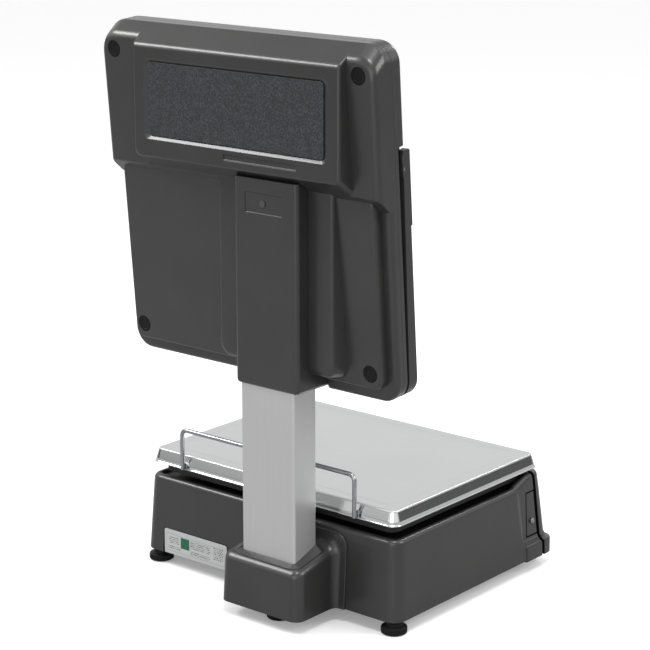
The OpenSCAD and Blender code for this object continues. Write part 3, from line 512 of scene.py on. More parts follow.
def from_head(x, w, v):
    return (x, HEAD_Y + v * math.sin(TILT) + w * math.cos(TILT),
            HEAD_Z + v * math.cos(TILT) - w * math.sin(TILT))


def head_slab(name, x0, x1, v0, v1, radii, layers, steps=6):
    """Solid through layers of (w, inset) in the head's frame."""
    if not hasattr(radii, "__len__"):
        radii = (radii,) * 4
    loops = []
    for w, inset in layers:
        ring = rounded_rect(x0 + inset, x1 - inset, v0 + inset, v1 - inset,
                            [max(r - inset, 0.3) for r in radii], steps)
        loops.append([(x, w, v) for x, v in ring])
    return loft(name, loops, from_head)


def head_box(name, x0, x1, v0, v1, r, w0, w1):
    return head_slab(name, x0, x1, v0, v1, r, [(w0, 0), (w1, 0)])


def rim():
    layers = [(0, 0), (6, 0)] + [(6 + rise, inset) for inset, rise in fillet(6)[1:]]
    return head_slab("rim", -HALF_W, HALF_W, 0, HEAD_V, CORNER_R, layers, 9)


def lower_plateau():
    layers = [(9, -1.3), (21, 0)] + [(21 + rise, inset) for inset, rise in fillet(3)[1:]]
    return head_slab("lower_plateau", -190, 190, 18, 238, 11, layers, 7)


SHOULDER_FALL = 0.707


def upper_body():
    top = round_corners([(6.2, HEAD_V), (10.4, HEAD_V), (UPPER_W, 406 - SHOULDER_FALL * (UPPER_W - 10)),
                         (UPPER_W + 0.001, 300)], (2.5, 14), 12)
    bottom = round_corners([(6.2, 222), (RIM_W, 222), (UPPER_W, 240), (UPPER_W + 0.001, 300)], (1, 3.5), 8)
    side_r = 8.0
    levels = sorted({round(k, 3) for k, _ in top + bottom if k <= UPPER_W} |
                    {round(UPPER_W - side_r + side_r * math.sin(math.pi / 2 * i / 8), 3) for i in range(9)})
    loops = []
    for w in levels:
        rise = max(0.0, w - (UPPER_W - side_r))
        inset = side_r - math.sqrt(max(side_r ** 2 - rise ** 2, 0))
        v1 = read_off(top, w)
        corner = CORNER_R - 0.5 * inset
        ring = rounded_rect(-HALF_W + inset, HALF_W - inset, read_off(bottom, w), v1,
                            (2.5, 2.5, corner, corner), 9)
        loops.append([(x, w, v) for x, v in ring])
    return loft("upper_body", loops, from_head)


POD_FACE = 188.9
POD_X0, POD_X1 = -165.0, 141.5


def badge_pod():
    top = round_corners([(148, 686.0), (161.3, 686.0), (POD_FACE, 663.25), (POD_FACE + 0.001, 600)],
                        (1, 9), 12)
    bottom = round_corners([(148, 517), (165, 518), (POD_FACE, 535), (POD_FACE + 0.001, 600)], (1, 3), 8)
    edge = 3.2
    levels = sorted({round(k, 3) for k, _ in top + bottom if k <= POD_FACE} |
                    {round(POD_FACE - edge + rise, 3) for _, rise in fillet(edge, 6)})
    loops = []
    for y in levels:
        rise = max(0.0, y - (POD_FACE - edge))
        inset = edge - math.sqrt(max(edge ** 2 - rise ** 2, 0)) - 4 * (POD_FACE - y) / (POD_FACE - 161)
        ring = rounded_rect(POD_X0 + inset, POD_X1 - inset, read_off(bottom, y), read_off(top, y),
                            (8, 8, 2.5, 2.5), 8)
        loops.append([(x, y, z) for x, z in ring])
    return loft("badge_pod", loops)


def neck_block():
    x0, x1, z0, z1, face, root = -136.7, 31.1, 308.0, 519.0, 165.6, 134.0
    low = round_corners([(root, z0 - 5), (face, z0), (face + 0.001, 400)], (8,), 10)
    edge = 3.0
    levels = sorted({round(k, 3) for k, _ in low if k <= face} |
                    {round(face - edge + rise, 3) for _, rise in fillet(edge, 6)})
    loops = []
    for y in levels:
        rise = max(0.0, y - (face - edge))
        inset = edge - math.sqrt(max(edge ** 2 - rise ** 2, 0)) - 9.6 * (face - y) / (face - root)
        ring = rounded_rect(x0 + inset, x1 - inset, read_off(low, y), z1, (13, 13, 3, 3), 8)
        loops.append([(x, y, z) for x, z in ring])
    return loft("neck_block", loops)


NECK_X0, NECK_X1, NECK_Y1, NECK_Z0, NECK_Z1 = -102.3, -8.6, 184.9, 285.5, 527.0
NECK_PLATE_X0, NECK_PLATE_X1 = -80.3, -26.2
PANEL = (-142.8, 119.6, 559.5, 644.4)
CAP_R = 9.5
CAP_SPOTS = [(sx * x, v, w) for sx in (-1, 1) for x, v, w in ((182.4, 374, UPPER_W), (175, 36, LOWER_W))]


def recess(name, x0, x1, z0, z1, wide, radius, depth):
    """Shallow pocket in the pod's face whose border slopes in by wide = (left, right, bottom, top)."""
    loops = []
    for y, share in ((POD_FACE + 1, 0), (POD_FACE - 0.05, 0), (POD_FACE - depth * 0.8, 0.92),
                     (POD_FACE - depth, 1), (POD_FACE - depth - 0.4, 1)):
        ring = rounded_rect(x0 + wide[0] * share, x1 - wide[1] * share, z0 + wide[2] * share,
                            z1 - wide[3] * share, radius - 2 * share, 6)
        loops.append([(x, y, z) for x, z in ring])
    return loft(name, loops)


def cap_wells():
    return [head_slab("well", sx - CAP_R - 0.35, sx + CAP_R + 0.35, v - CAP_R - 0.35, v + CAP_R + 0.35,
                      CAP_R + 0.34, [(w - 1.4, 0.3), (w - 0.5, 0), (w + 1, -0.5)], 9)
            for sx, v, w in CAP_SPOTS]


def rear_cavity():
    shell = 2.5
    slab_a = head_box("cavity", -HALF_W + shell, HALF_W - shell, shell, HEAD_V - shell, CORNER_R - shell,
                      -1, RIM_W - shell)
    slab_b = head_box("cavity_b", -190 + shell, 190 - shell, 18 + shell, 236, 8, RIM_W - shell - 1,
                      LOWER_W - shell)
    profile = [(-1, 236), (UPPER_W - shell - 6, 236), (UPPER_W - shell, 242), (UPPER_W - shell, 386),
               (9, HEAD_V - 6), (-1, HEAD_V - 6)]
    upper = loft("cavity_c", [[(x, w, v) for w, v in profile] for x in (-194, 194)], from_head)
    pod = [(150, 671), (176, 671), (POD_FACE - 3.6, 660), (POD_FACE - 3.6, 540), (166, 522), (150, 521)]
    pod_hole = loft("cavity_d", [[(x, y, z) for y, z in pod] for x in (POD_X0 + 3, POD_X1 - 3)])
    return [slab_a, slab_b, upper, pod_hole]


def make_rear_housing():
    body = combine(rim(), [lower_plateau(), upper_body(), badge_pod(), neck_block()], "UNION")
    tools = rear_cavity()
    tools.append(box("neck_hole", (NECK_X0 - 0.25, 100, 270), (NECK_X1 + 0.25, 187, NECK_Z1 + 0.25)))
    tools.append(recess("panel_recess", -148.5, 126.5, 555.2, 648.2, (5.5, 6.7, 4.0, 3.6), 8, 3.0))
    tools.append(recess("strip_recess", -105.3, 3.0, 542.6, 550.7, (0.6, 0.6, 2.0, 0.4), 2.6, 0.9))
    tools += cap_wells()
    combine(body, tools, "DIFFERENCE")
    dress(body, "rear_shell", "root", HOUSING, ("head_rear_housing",))


def make_caps():
    parts = []
    for sx, v, w in CAP_SPOTS:
        layers = [(w - 1.3, 0), (w - 0.5, 0), (w - 0.2, 0.25), (w - 0.1, 0.8), (w - 0.1, 2.6),
                  (w - 0.45, 2.9), (w - 0.45, 6.0)]
        parts.append(head_slab("cap", sx - CAP_R, sx + CAP_R, v - CAP_R, v + CAP_R, CAP_R - 0.01, layers, 10))
    return parts


def merge(objs):
    """One mesh from several, without a boolean."""
    bm = bmesh.new()
    for obj in objs:
        bm.from_mesh(obj.data)
    for obj in objs:
        bpy.data.objects.remove(obj)
    mesh = bpy.data.meshes.new("merged")
    bm.to_mesh(mesh)
    bm.free()
    made = bpy.data.objects.new("merged", mesh)
    scene.collection.objects.link(made)
    return made


def make_badge():
    x0, x1, z0, z1 = PANEL
    loops = []
    for depth, inset in ((3.0, 0), (1.5, 0), (1.15, 0.12), (1.0, 0.45)):
        y = POD_FACE - depth
        ring = rounded_rect(x0 + inset, x1 - inset, z0 + inset, z1 - inset, 4.5 - inset, 7)
        loops.append([(x, y, z) for x, z in ring])
    dress(loft("badge", loops), "badge_plate", "root", BADGE, ("badge_panel",))


def make_neck():
    loops = []
    foot_r, side_r = 5.0, 6.0
    for inset, rise in reversed(fillet(foot_r, 7)):
        r = max(side_r - inset, 1.0)
        ring = rounded_rect(NECK_X0 + inset, NECK_X1 - inset, 118, NECK_Y1 - inset, (0, 0, r, r), 8)
        loops.append([(x, y, NECK_Z0 + foot_r - rise) for x, y in ring])
    ring = rounded_rect(NECK_X0, NECK_X1, 118, NECK_Y1, (0, 0, side_r, side_r), 8)
    loops.append([(x, y, NECK_Z1) for x, y in ring])
    neck = loft("neck", loops)
    front = head_box("front_cut", -220, 220, -60, 430, 5, -60, 6.5)
    hollow = box("hollow", (NECK_X0 + 2.5, 100, NECK_Z0 - 1), (NECK_X1 - 2.5, NECK_Y1 - 2.5, NECK_Z1 - 2.5))
    plate_hole = box("plate_hole", (NECK_PLATE_X0, NECK_Y1 - 1.2, 489.0), (NECK_PLATE_X1, NECK_Y1 + 1, 511.2))
    wedge = ((NECK_Y1 - 1.2, 489.2), (NECK_Y1 + 0.5, 487.4), (NECK_Y1 + 0.5, 489.2))
    lip = loft("lip", [[(x, y, z) for y, z in wedge] for x in (NECK_PLATE_X0, NECK_PLATE_X1)])
    hole = rod("hole", (-52.4, 499.8), "y", 2.1, NECK_Y1 - 6, NECK_Y1 + 1)
    combine(neck, [front, hollow, plate_hole, lip, hole], "DIFFERENCE")
    dress(neck, "neck_shell", "root", HOUSING, ("neck_cover",))


# ---------- base ----------

BASE_Z0, BASE_Z1, BEZEL_Z1, DECK_Z = 17.0, 115.0, 126.0, 111.0
BASE_CORNER = 16.0
LEDGE = 10.0
SIDE_YS = [-150, -146, -143, -140, -137, -135, -133.5, -132, -130.5, -129, -127.5, -126, -124.5, -123, -121.5,
           -120, -118.5, -117, -115.5, -114, -111, -100, -60, 0, 60, 100]
TOP_EDGE = round_corners([(-230, BEZEL_Z1), (-146, BEZEL_Z1), (-114, BASE_Z1), (140, BASE_Z1)], (14, 22), 8)
STEP_LINE = [(15, -134), (40, -131.5), (52, -129.5), (124, -117.5), (140, -115)]
STEP_DEPTH = 1.7
STEP_WIDTH = 2.7
STEP_FLOOR = 41.0
SEAM = [(-155.5, 140), (-155.5, 130), (-165.5, 41), (-170.5, 34), (-172.5, 5), (-172.5, -5)]


def smooth_step(t):
    t = max(0.0, min(1.0, t))
    return t * t * (3 - 2 * t)


def base_sizes(z):
    share = (z - BASE_Z0) / (BASE_Z1 - BASE_Z0)
    return 200.9 - 4.8 * share, -192.9 + 14.5 * share, 126.6 - 5.6 * share


def side_step(y, z, depth):
    """How far the side panel in front of the hatch is set in."""
    ahead = smooth_step((read_off(STEP_LINE, z) - y) / STEP_WIDTH)
    return depth * ahead * smooth_step((z - STEP_FLOOR) / STEP_WIDTH)


def base_ring_point(kind, z, inset, depth):
    """A point of the base's outline; kind is ("corner", sx, front, angle) or ("side", sx, y)."""
    half, y0, y1 = base_sizes(z)
    half, y0, y1 = half - inset, y0 + inset, y1 - inset
    r = max(BASE_CORNER - inset, 1.0)
    if kind[0] == "side":
        x, y = kind[1] * half, kind[2]
    else:
        cy = y0 + r if kind[2] else y1 - r
        x = kind[1] * (half - r) + r * math.cos(kind[3])
        y = cy + r * math.sin(kind[3])
    near = smooth_step((abs(x) - half + 12) / 8)
    return x - math.copysign(side_step(y, z, depth) * near, x), y


def base_kinds():
    kinds = []
    steps = 8
    for sx, front, start in ((1, True, 270), (1, False, 0), (-1, False, 90), (-1, True, 180)):
        if not front and sx > 0:
            kinds += [("side", 1, y) for y in SIDE_YS]
        if front and sx < 0:
            kinds += [("side", -1, y) for y in reversed(SIDE_YS)]
        kinds += [("corner", sx, front, math.radians(start + 90 * i / steps)) for i in range(steps + 1)]
    return kinds


def base_loops(inset, z_low, levels, top_steps, depth):
    """levels are heights; top_steps are (inset, drop below the top edge)."""
    loops = []
    kinds = base_kinds()
    crest = [read_off(TOP_EDGE, base_ring_point(k, BASE_Z1, inset, 0)[1]) for k in kinds]
    for z in [z_low] + levels:
        loops.append([(*base_ring_point(k, z, inset, depth), z) for k in kinds])
    for more, drop in top_steps:
        ring = []
        for k, top in zip(kinds, crest):
            z = top - drop if drop is not None else DECK_Z
            ring.append((*base_ring_point(k, top - 3, inset + more, depth), z))
        loops.append(ring)
    return loops


def seam_cutter(front, shift):
    """Everything in front of the seam, or behind it."""
    far = -230 if front else 150
    line = [(y + shift, z) for y, z in SEAM]
    profile = [(far, 140)] + line + [(far, -5)]
    return loft("seam_cutter", [[(x, y, z) for y, z in profile] for x in (-230, 230)])


def copy_of(obj):
    made = obj.copy()
    made.data = obj.data.copy()
    scene.collection.objects.link(made)
    return made


def in_shadow(at, normal):
    """Faces of the base that the photo shows black, painted black as shade: seam, deck, plate notch and hatch
    edges.
    """
    seam = normal.y < -0.6 and at.y < -145 and abs(at.x) > 185
    deck = normal.z > 0.5 and at.z > 105 and abs(at.x) < 188.5 and -150 < at.y < 113.5
    near_plate = 50 < at.x < 175 and at.y > 120 and 17.5 < at.z < 52
    notch = near_plate and (abs(normal.y) > 0.9999 or abs(normal.y) < 0.5)
    hatch_edge = at.x < -190 and -186 < at.y < -138 and 44 < at.z < 106 and abs(normal.x) < 0.3
    return seam or deck or notch or hatch_edge


def make_base():
    edge = fillet(6.5, 7)
    levels = [28, 38, 40.5, 42, 43.2, 44.5, 47, 55, 70, 85, 100, 105]
    top_steps = [(inset, 6.5 - rise) for inset, rise in edge]
    top_steps += [(7.5, 0.25), (8.6, 0.6), (9.4, 1.4), (LEDGE, 2.6), (LEDGE, None)]
    shell = loft("base_shell", base_loops(0, BASE_Z0, levels, top_steps, STEP_DEPTH))
    skirt_loops = []
    for z, inset in ((15.0, 0.6), (15.6, 0), (33.5, 0), (35.2, 0.7), (36.4, 2.4)):
        ring = rounded_rect(-202.2 + inset, 202.2 - inset, -197 + inset, -137, (14, 14, 3, 3), 8)
        skirt_loops.append([(x, y, z) for x, y in ring])
    combine(shell, [loft("skirt", skirt_loops)], "UNION")
    inner = loft("inner", base_loops(3, 10, levels[:-1] + [108], [], STEP_DEPTH))
    combine(shell, [inner], "DIFFERENCE")

    hatch = copy_of(shell)
    side = box("side", (-230, -180, 47.4), (-190, -142.0, 102.6))
    combine(hatch, [side], "INTERSECT")
    combine(hatch, [seam_cutter(True, 1.4), rod("hole", (-151.5, 66), "x", 2.6, -220, -180)], "DIFFERENCE")
    soften(hatch, 0.35, 2, 45)
    dress(hatch, "hatch_cover", "root", HOUSING, ("side_hatch",))
    # The hatch cover's edge faces are painted black as shade in the gap around it.
    paint_shade_black(hatch, lambda at, normal: abs(normal.x) < 0.3)

    x0, x1, z0, z1 = -6.0, 126.0, 22.0, 104.0
    front = copy_of(shell)
    opening = box("opening", (x0, -215, z0), (x1, -150, z1))
    combine(front, [seam_cutter(False, -4.4), opening], "DIFFERENCE")
    dress(front, "bezel_shell", "root", HOUSING, ("front_bezel",))
    # The bezel's cut faces inside the seam are painted black as shade.
    paint_shade_black(front, lambda at, normal: normal.y > 0.6 and at.y < -150)

    drawer = copy_of(shell)
    gap = 0.8
    panel = box("panel", (x0 + gap, -215, z0 + gap), (x1 - gap, -177.2, z1 - gap))
    combine(drawer, [panel], "INTERSECT")
    slot = rounded_rect(28, 92, 85, 91, 1.5, 4)
    grip = rounded_rect(35, 85, 27, 34, 3, 4)
    combine(drawer, [loft("slot", [[(x, y, z) for x, z in slot] for y in (-215, -150)]),
                     loft("grip", [[(x, y, z) for x, z in grip] for y in (-215, -194.2)])], "DIFFERENCE")
    soften(drawer, 0.5, 2, 50)
    dress(drawer, "drawer_face", "drawer_body", HOUSING, ("drawer_front",))

    tools = [seam_cutter(True, 1.0), box("hatch_hole", (-230, -185, 45.6), (-192.5, -140.1, 104.4)),
             box("cable_hole", (30, -48, 100), (72, -3, 115)),
             box("rear_notch", (-111, 100, 5), (2, 140, 31)),
             box("inlet_hole", (185, 57.7, 35.7), (215, 102.3, 64.3))]
    arch = rounded_rect(60.9, 169.3, 5, 51.0, (1, 1, 4.5, 4.5), 6)
    tools.append(loft("plate_notch", [[(x, y, z) for x, z in arch] for y in (124.7, 140)]))
    combine(shell, tools, "DIFFERENCE")
    dress(shell, "base_shell_moulded", "root", HOUSING, ("base_housing",))
    # Seam, deck, plate notch and hatch edges of the shell are painted black as shade.
    paint_shade_black(shell, in_shadow)


def make_hatch_screw():
    loops = []
    for x, r in ((-192.2, 2.5), (-198.0, 2.5), (-198.0, 3.6), (-198.9, 3.6), (-199.6, 3.0), (-199.9, 1.9),
                 (-199.9, 1.5), (-199.0, 1.2)):
        loops.append([(x, -151.5 + a, 66 + b) for a, b in circle(r, 28)])
    dress(loft("screw", loops), "hatch_screw_head", "root", WIRE_METAL, ("hatch_screw",))


# ---------- column pod ----------

COLUMN_X, COLUMN_Y = -54.6, 162.05
POD_SHEAR = (0.0571, 0.042)
POD_TOP_Z = 92.0
POD_CREST_Y, POD_CREST_Z, POD_FALL = 119, 93.0, 0.212
POD_DRAFT = 0.033


def make_pod():
    flange = (-125.3, 16.0, 108.5)
    centre, half = -50.6, 58.5
    face_y, rear_y, throat = 129.6, 197.0, 10.0
    round_x, round_z, edge_r = 13.0, 9.0, 9.0
    loops = []

    def top_at(y):
        return POD_CREST_Z - POD_FALL * (y - POD_CREST_Y)

    def add(y, x0, x1, z1, r):
        ring = rounded_rect(x0, x1, BASE_Z0, z1, (0, 0, r, r), 9)
        placed = []
        for x, z in ring:
            share = min(1, max(0, (y - face_y) / (rear_y - face_y)))
            lean = POD_SHEAR[0] + (POD_SHEAR[1] - POD_SHEAR[0]) * share
            draft = POD_DRAFT * (POD_TOP_Z - z) * smooth_step((y - face_y) / 6)
            placed.append((x + math.copysign(draft, x - centre), y - lean * (z - BASE_Z0), z))
        loops.append(placed)

    for y, inset in ((124.5, 0), (128.4, 0), (129.0, 0.25), (129.4, 0.8)):
        add(y, flange[0] + inset, flange[1] - inset, flange[2] - inset, 17 - inset)
    for i in range(9):
        t = math.pi / 2 * i / 8
        y = face_y + throat * (1 - math.cos(t))
        out = throat * (1 - math.sin(t))
        add(y, centre - half - out, centre + half + out, top_at(y) + out, edge_r + out * 0.9)
    for y in (145, 155, 165, 175, 184):
        add(y, centre - half, centre + half, top_at(y), edge_r)
    for i in range(1, 11):
        t = math.pi / 2 * i / 10
        y = 184 + round_x * math.sin(t)
        in_x = round_x * (1 - math.cos(t))
        rise = max(0.0, y - (rear_y - round_z))
        in_z = round_z - math.sqrt(max(round_z ** 2 - rise ** 2, 0))
        add(y, centre - half + in_x, centre + half - in_x, top_at(y) - in_z, max(edge_r - in_z, 0.6))
    pod = loft("pod", loops)
    inner = rounded_rect(centre - half + 4, centre + half - 4, 118, 186, (0, 0, 11, 11), 6)
    hollow = loft("hollow", [[(x, y, z) for x, y in inner] for z in (10, 60)])
    wall_gap = box("wall_gap", (-111.5, 100, 5), (2.5, 130, 66))
    sleeve_x0, sleeve_x1, sleeve_y0, corner = -94.9, -14.3, 141.7, 3.3
    boss_depth, boss_fall, boss_least = 40.7, 0.7, 0.3
    outline = rounded_rect(sleeve_x0, sleeve_x1, 141.75, 182.35, corner, 8)
    sleeve = loft("sleeve", [[(x, y, z) for x, y in outline] for z in (5, 140)])
    boss_loops = []
    for rise, out in ((-6, 8.6), (0.2, 8.6), (1.0, 7.8), (7.2, 1.4), (7.8, 0.7), (7.8, -2)):
        ring = rounded_rect(sleeve_x0 - out, sleeve_x1 + out, sleeve_y0 - out, 182.4 + min(out, 7),
                            corner + out, 8)
        loop = []
        for x, y in ring:
            share = 1 - boss_fall * (y - sleeve_y0) / boss_depth
            loop.append((x, y, top_at(y) + rise * min(1, max(boss_least, share))))
        boss_loops.append(loop)
    boss = loft("boss", boss_loops)
    combine(pod, [boss], "UNION")
    combine(pod, [hollow, wall_gap, sleeve], "DIFFERENCE")
    dress(pod, "column_pod_moulded", "root", HOUSING, ("column_pod",))


# ---------- platter, feet, rating plate ----------

SKIRT_TOP_M = 0.1466
SKIRT_ROUGHNESS = 0.12


def polish_below(mat, height, roughness):
    """Gives the metal a mirror polish under a height, for a pressed skirt."""
    tree = mat.node_tree
    rough = tree.nodes["Principled BSDF"].inputs["Roughness"]
    satin = rough.links[0].from_socket
    split = tree.nodes.new("ShaderNodeSeparateXYZ")
    tree.links.new(scaled_coordinates(tree, (1, 1, 1)), split.inputs[0])
    pick = node(tree, "ShaderNodeMapRange", From_Min=height - 0.0004, From_Max=height, To_Min=roughness)
    tree.links.new(split.outputs["Z"], pick.inputs["Value"])
    tree.links.new(satin, pick.inputs["To Max"])
    tree.links.new(pick.outputs["Result"], rough)


def make_platter():
    x1, y0, y1 = 192.5, -170.3, 119.7
    flare, hem = 4.25, 0.75
    z1, skirt_z, edge, corner = 148.5, 130.8, 1.6, 12.0
    loops = []

    def add(inset, z, r=None):
        radius = max(corner - inset, 1.2) if r is None else r
        ring = rounded_rect(-x1 + inset, x1 - inset, y0 + inset, y1 - inset, radius, 8)
        loops.append([(x, y, z) for x, y in ring])

    for inset, rise in reversed(fillet(1.2, 4)):
        add(flare + 1 + inset, z1 - 2.2 + rise)
    add(flare + 0.8, z1 - 6)
    add(1.0, skirt_z + 2.4)
    add(0.6, skirt_z + 1.5)
    add(-0.2, skirt_z + 0.5)
    add(-0.6, skirt_z + 0.05)
    add(-0.95, skirt_z + 0.3)
    add(-0.95, skirt_z + 0.9)
    add(-0.45, skirt_z + 1.5)
    add(hem - 0.4, skirt_z + 2.2)
    add(hem - 0.02, skirt_z + 5.0)
    add(hem, skirt_z + 5.2)
    add(hem + 0.1, skirt_z + 5.5)
    add(flare - 0.15, z1 - edge - 0.45)
    for inset, rise in fillet(edge, 7):
        add(flare + inset, z1 - edge + rise)
    for inset, drop in ((18.6, 0), (19.3, 0.28), (20.3, 0.28), (21.0, 0)):
        add(inset, z1 - drop, 14)
    add(28, z1, 12)
    polish_below(PLATTER_METAL, SKIRT_TOP_M, SKIRT_ROUGHNESS)
    dress(loft("platter", loops), "platter_pressed", "platter_body", PLATTER_METAL,
          ("platter",), 40)


# (height, radius) of a levelling foot
FOOT_PROFILE = [(0.0, 12.6), (0.5, 13.8), (1.6, 15.2), (2.2, 15.5), (7.4, 15.5), (8.2, 15.1), (8.9, 13.9),
                (9.3, 11.6), (10.3, 9.9), (12.0, 9.4), (14.4, 9.9), (15.8, 10.9), (16.6, 10.7), (16.8, 5.0),
                (40.0, 5.0)]


def make_feet():
    for name, x, y in (("rear_left", 186.4, 112.1), ("rear_right", -186.4, 112.1), ("front_left", 156, -165),
                       ("front_right", -156, -165), ("column", COLUMN_X, COLUMN_Y)):
        loops = []
        for z, r in FOOT_PROFILE:
            knurl = 0.55 if 2.0 < z < 7.6 else 0.0
            loops.append([(x + a, y + b, z) for a, b in circle(r - knurl, 120, knurl, 30)])
        dress(loft("foot", loops), "foot_" + name + "_knurled", "foot_" + name + "_body", RUBBER,
              ("foot_" + name,))


def label_material():
    """Silver plate with blank ruled fields and a green square: no lettering."""
    mat, tree, shader = new_material("rating_print", (0.5, 0.51, 0.51), 0.42, 0.0)
    where = scaled_coordinates(tree, (1, 1, 1))
    grain = noise(tree, scaled_coordinates(tree, (40, 40, 2600)), 1.0, 3.0)
    color = ramp(tree, grain, [(0.3, (0.46, 0.47, 0.47)), (0.7, (0.56, 0.57, 0.57))])
    frame_z, frame_half = 0.0325, (0.049, 0.0112)
    color = over(tree, color, (0.3, 0.31, 0.31), inside(tree, where, (0.1151, frame_z), frame_half))
    color = over(tree, color, (0.53, 0.54, 0.54),
                 inside(tree, where, (0.1151, frame_z), (frame_half[0] - 0.0005, frame_half[1] - 0.0005)))
    color = over(tree, color, (0.015, 0.12, 0.055), inside(tree, where, (0.1326, 0.0353), (0.0073, 0.0071)))
    dashes = bricks(tree, where, 0, 0.5, Brick_Width=0.0034, Row_Height=0.0024, Mortar_Size=0.00055,
                    Color1=(0.05, 0.05, 0.055, 1), Color2=(0.4, 0.4, 0.4, 1), Mortar=(0.53, 0.54, 0.54, 1))
    for centre, half in (((0.107, 0.0365), (0.0165, 0.0055)), ((0.107, 0.0262), (0.0165, 0.0032)),
                         ((0.0765, 0.0345), (0.0085, 0.0085)), ((0.1505, 0.0258), (0.0105, 0.0024)),
                         ((0.1515, 0.036), (0.0085, 0.0045))):
        color = over(tree, color, dashes.outputs["Color"], inside(tree, where, centre, half))
    tree.links.new(color, shader.inputs["Base Color"])
    bump(tree, shader, grain, 0.05, 0.00001)
    return mat


def make_rating_plate():
    loops = []
    for y, inset in ((124.75, 0), (125.35, 0), (125.55, 0.1), (125.65, 0.35)):
        radii = (0.5, 0.5, 3 - inset, 3 - inset)
        ring = rounded_rect(62.6 + inset, 167.6 - inset, 17.2 + inset, 49.2 - inset, radii, 6)
        loops.append([(x, y, z) for x, z in ring])
    dress(loft("rating", loops), "rating_plate_blank", "root", label_material(),
          ("rating_plate",))


# ---------- front of the head ----------

FRONT_W, PLATE_W = -20.3, -6.5
FACE_V0 = 291.0
HINGE_V, HINGE_W = 264.8, -17.2
KEY_X = (-120, -84, -48)
KEY_V = 273.0
DISPLAY_BOX = (-140, 140, 306, 384)


def hinge_rod(radius, x0, x1):
    ring = circle(radius, 32)
    return loft("hinge", [[(x, HINGE_W + a, HINGE_V + b) for a, b in ring] for x in (x0, x1)], from_head)


def make_front_housing():
    plate = head_slab("plate", -HALF_W, HALF_W, 0, HEAD_V, CORNER_R,
                      [(-0.4, 0.5), (-0.9, 0), (-5.7, 0), (-6.3, 0.25), (PLATE_W, 0.9)], 9)
    loops = []
    for inset, rise in [(0, -11)] + fillet(8.0, 8):
        w = FRONT_W + 8 - rise
        ring = rounded_rect(-HALF_W + inset, HALF_W - inset, FACE_V0, HEAD_V - inset,
                            (1, 1, CORNER_R - 0.4 * inset, CORNER_R - 0.4 * inset), 9)
        loops.append([(x, w, v) for x, v in ring])
    upper = loft("upper", loops, from_head)
    mid = head_slab("mid", -195.5, 195.5, 256, 300, 1.5,
                    [(PLATE_W + 1, 0), (FRONT_W + 1.5, 0), (FRONT_W + 0.4, 0.4), (FRONT_W + 0.02, 1.4)], 4)
    combine(plate, [upper, mid], "UNION")
    x0, x1, v0, v1 = DISPLAY_BOX
    tools = [head_box("cavity", -201.5, 201.5, 2.5, HEAD_V - 2.5, 21.5, PLATE_W + 2.5, 5),
             head_box("cavity_b", -195.5, 195.5, 258.5, HEAD_V - 9, 12, FRONT_W + 2.5, 5),
             head_slab("frame", x0 - 4, x1 + 4, v0 - 4, v1 + 4, 5,
                       [(FRONT_W + 1.6, 0), (FRONT_W + 0.4, 0), (FRONT_W - 1, -1.2)]),
             head_box("display_hole", x0, x1, v0, v1, 3, FRONT_W - 1, 0)]
    for x in KEY_X:
        tools.append(head_box("key_hole", x - 13.5, x + 13.5, KEY_V - 7.5, KEY_V + 7.5, 3.4,
                              FRONT_W - 1, FRONT_W + 4))
    tools += [hinge_rod(2.55, 185, 210), hinge_rod(2.55, -210, -185)]
    combine(plate, tools, "DIFFERENCE")
    dress(plate, "front_shell", "root", HOUSING, ("head_front_housing",))


def make_keyboard_frame():
    w_half = HALF_W - 0.1
    body = head_slab("frame", -w_half, w_half, 0.5, 252, (22, 22, 2, 2),
                     [(-8, 0), (-23.4, 0), (-24.7, 0.45), (-25.6, 1.4), (-26, 2.6)], 8)
    profile = round_corners([(-26.2, 200), (-26.2, 287), (-14, 285), (-12.6, 277), (-14, 240), (-14, 200)],
                            (3, 6, 3, 4), 5)
    ears = [loft("ear", [[(x, w, v) for w, v in profile] for x in xs], from_head)
            for xs in ((196.3, 203.9), (-203.9, -196.3))]
    combine(body, ears, "UNION")
    wedge = [(2, -12), (-9, -12), (-9, 0), (-14.5, 253), (-14.4, 256), (2, 256)]
    tools = [loft("wedge", [[(x, w, v) for w, v in wedge] for x in (-220, 220)], from_head),
             head_slab("window", -182, 182, 22, 236, 8, [(2, 0), (-23.5, 0), (-26.8, -3.4)]),
             head_box("clearance", -195.5, 195.5, 244, 300, 1, -40, 0),
             hinge_rod(2.55, 190, 210), hinge_rod(2.55, -210, -190)]
    combine(body, tools, "DIFFERENCE")
    dress(body, "swing_frame", "frame_body", FRAME_GREY, ("keyboard_frame",))


def key_print_material():
    """Membrane key fields: a colour for each block of keys and grey gaps between them. No legends."""
    mat, tree, shader = new_material("key_fields", (0.5, 0.5, 0.5), 0.48)
    where = scaled_coordinates(tree, (1, 1, 1))
    split = tree.nodes.new("ShaderNodeSeparateXYZ")
    tree.links.new(where, split.inputs[0])
    color = ramp(tree, spread(tree, split.outputs["X"], 0.5, 1.0),
                 [(0.0, (0.5, 0.5, 0.5)), (1.0, (0.56, 0.56, 0.55))])
    for tone, low, high in (((0.62, 0.6, 0.55), -0.177, -0.0865), ((0.04, 0.16, 0.3), 0.121, 0.177),
                            ((0.62, 0.42, 0.05), 0.0865, 0.121)):
        color = over(tree, color, tone, inside(tree, where, ((low + high) / 2, 0.5), ((high - low) / 2, 1.0)))
    grid = bricks(tree, where, -0.3133, 0.0, Brick_Width=0.0346, Row_Height=0.0329, Mortar_Size=0.0021)
    color = over(tree, color, (0.16, 0.165, 0.17), grid.outputs["Fac"])
    tree.links.new(color, shader.inputs["Base Color"])
    grain = noise(tree, where, 1500.0, 2.0)
    tree.links.new(spread(tree, grain, 0.42, 0.55), shader.inputs["Roughness"])
    bump(tree, shader, grain, 0.2, 0.00002)
    return mat


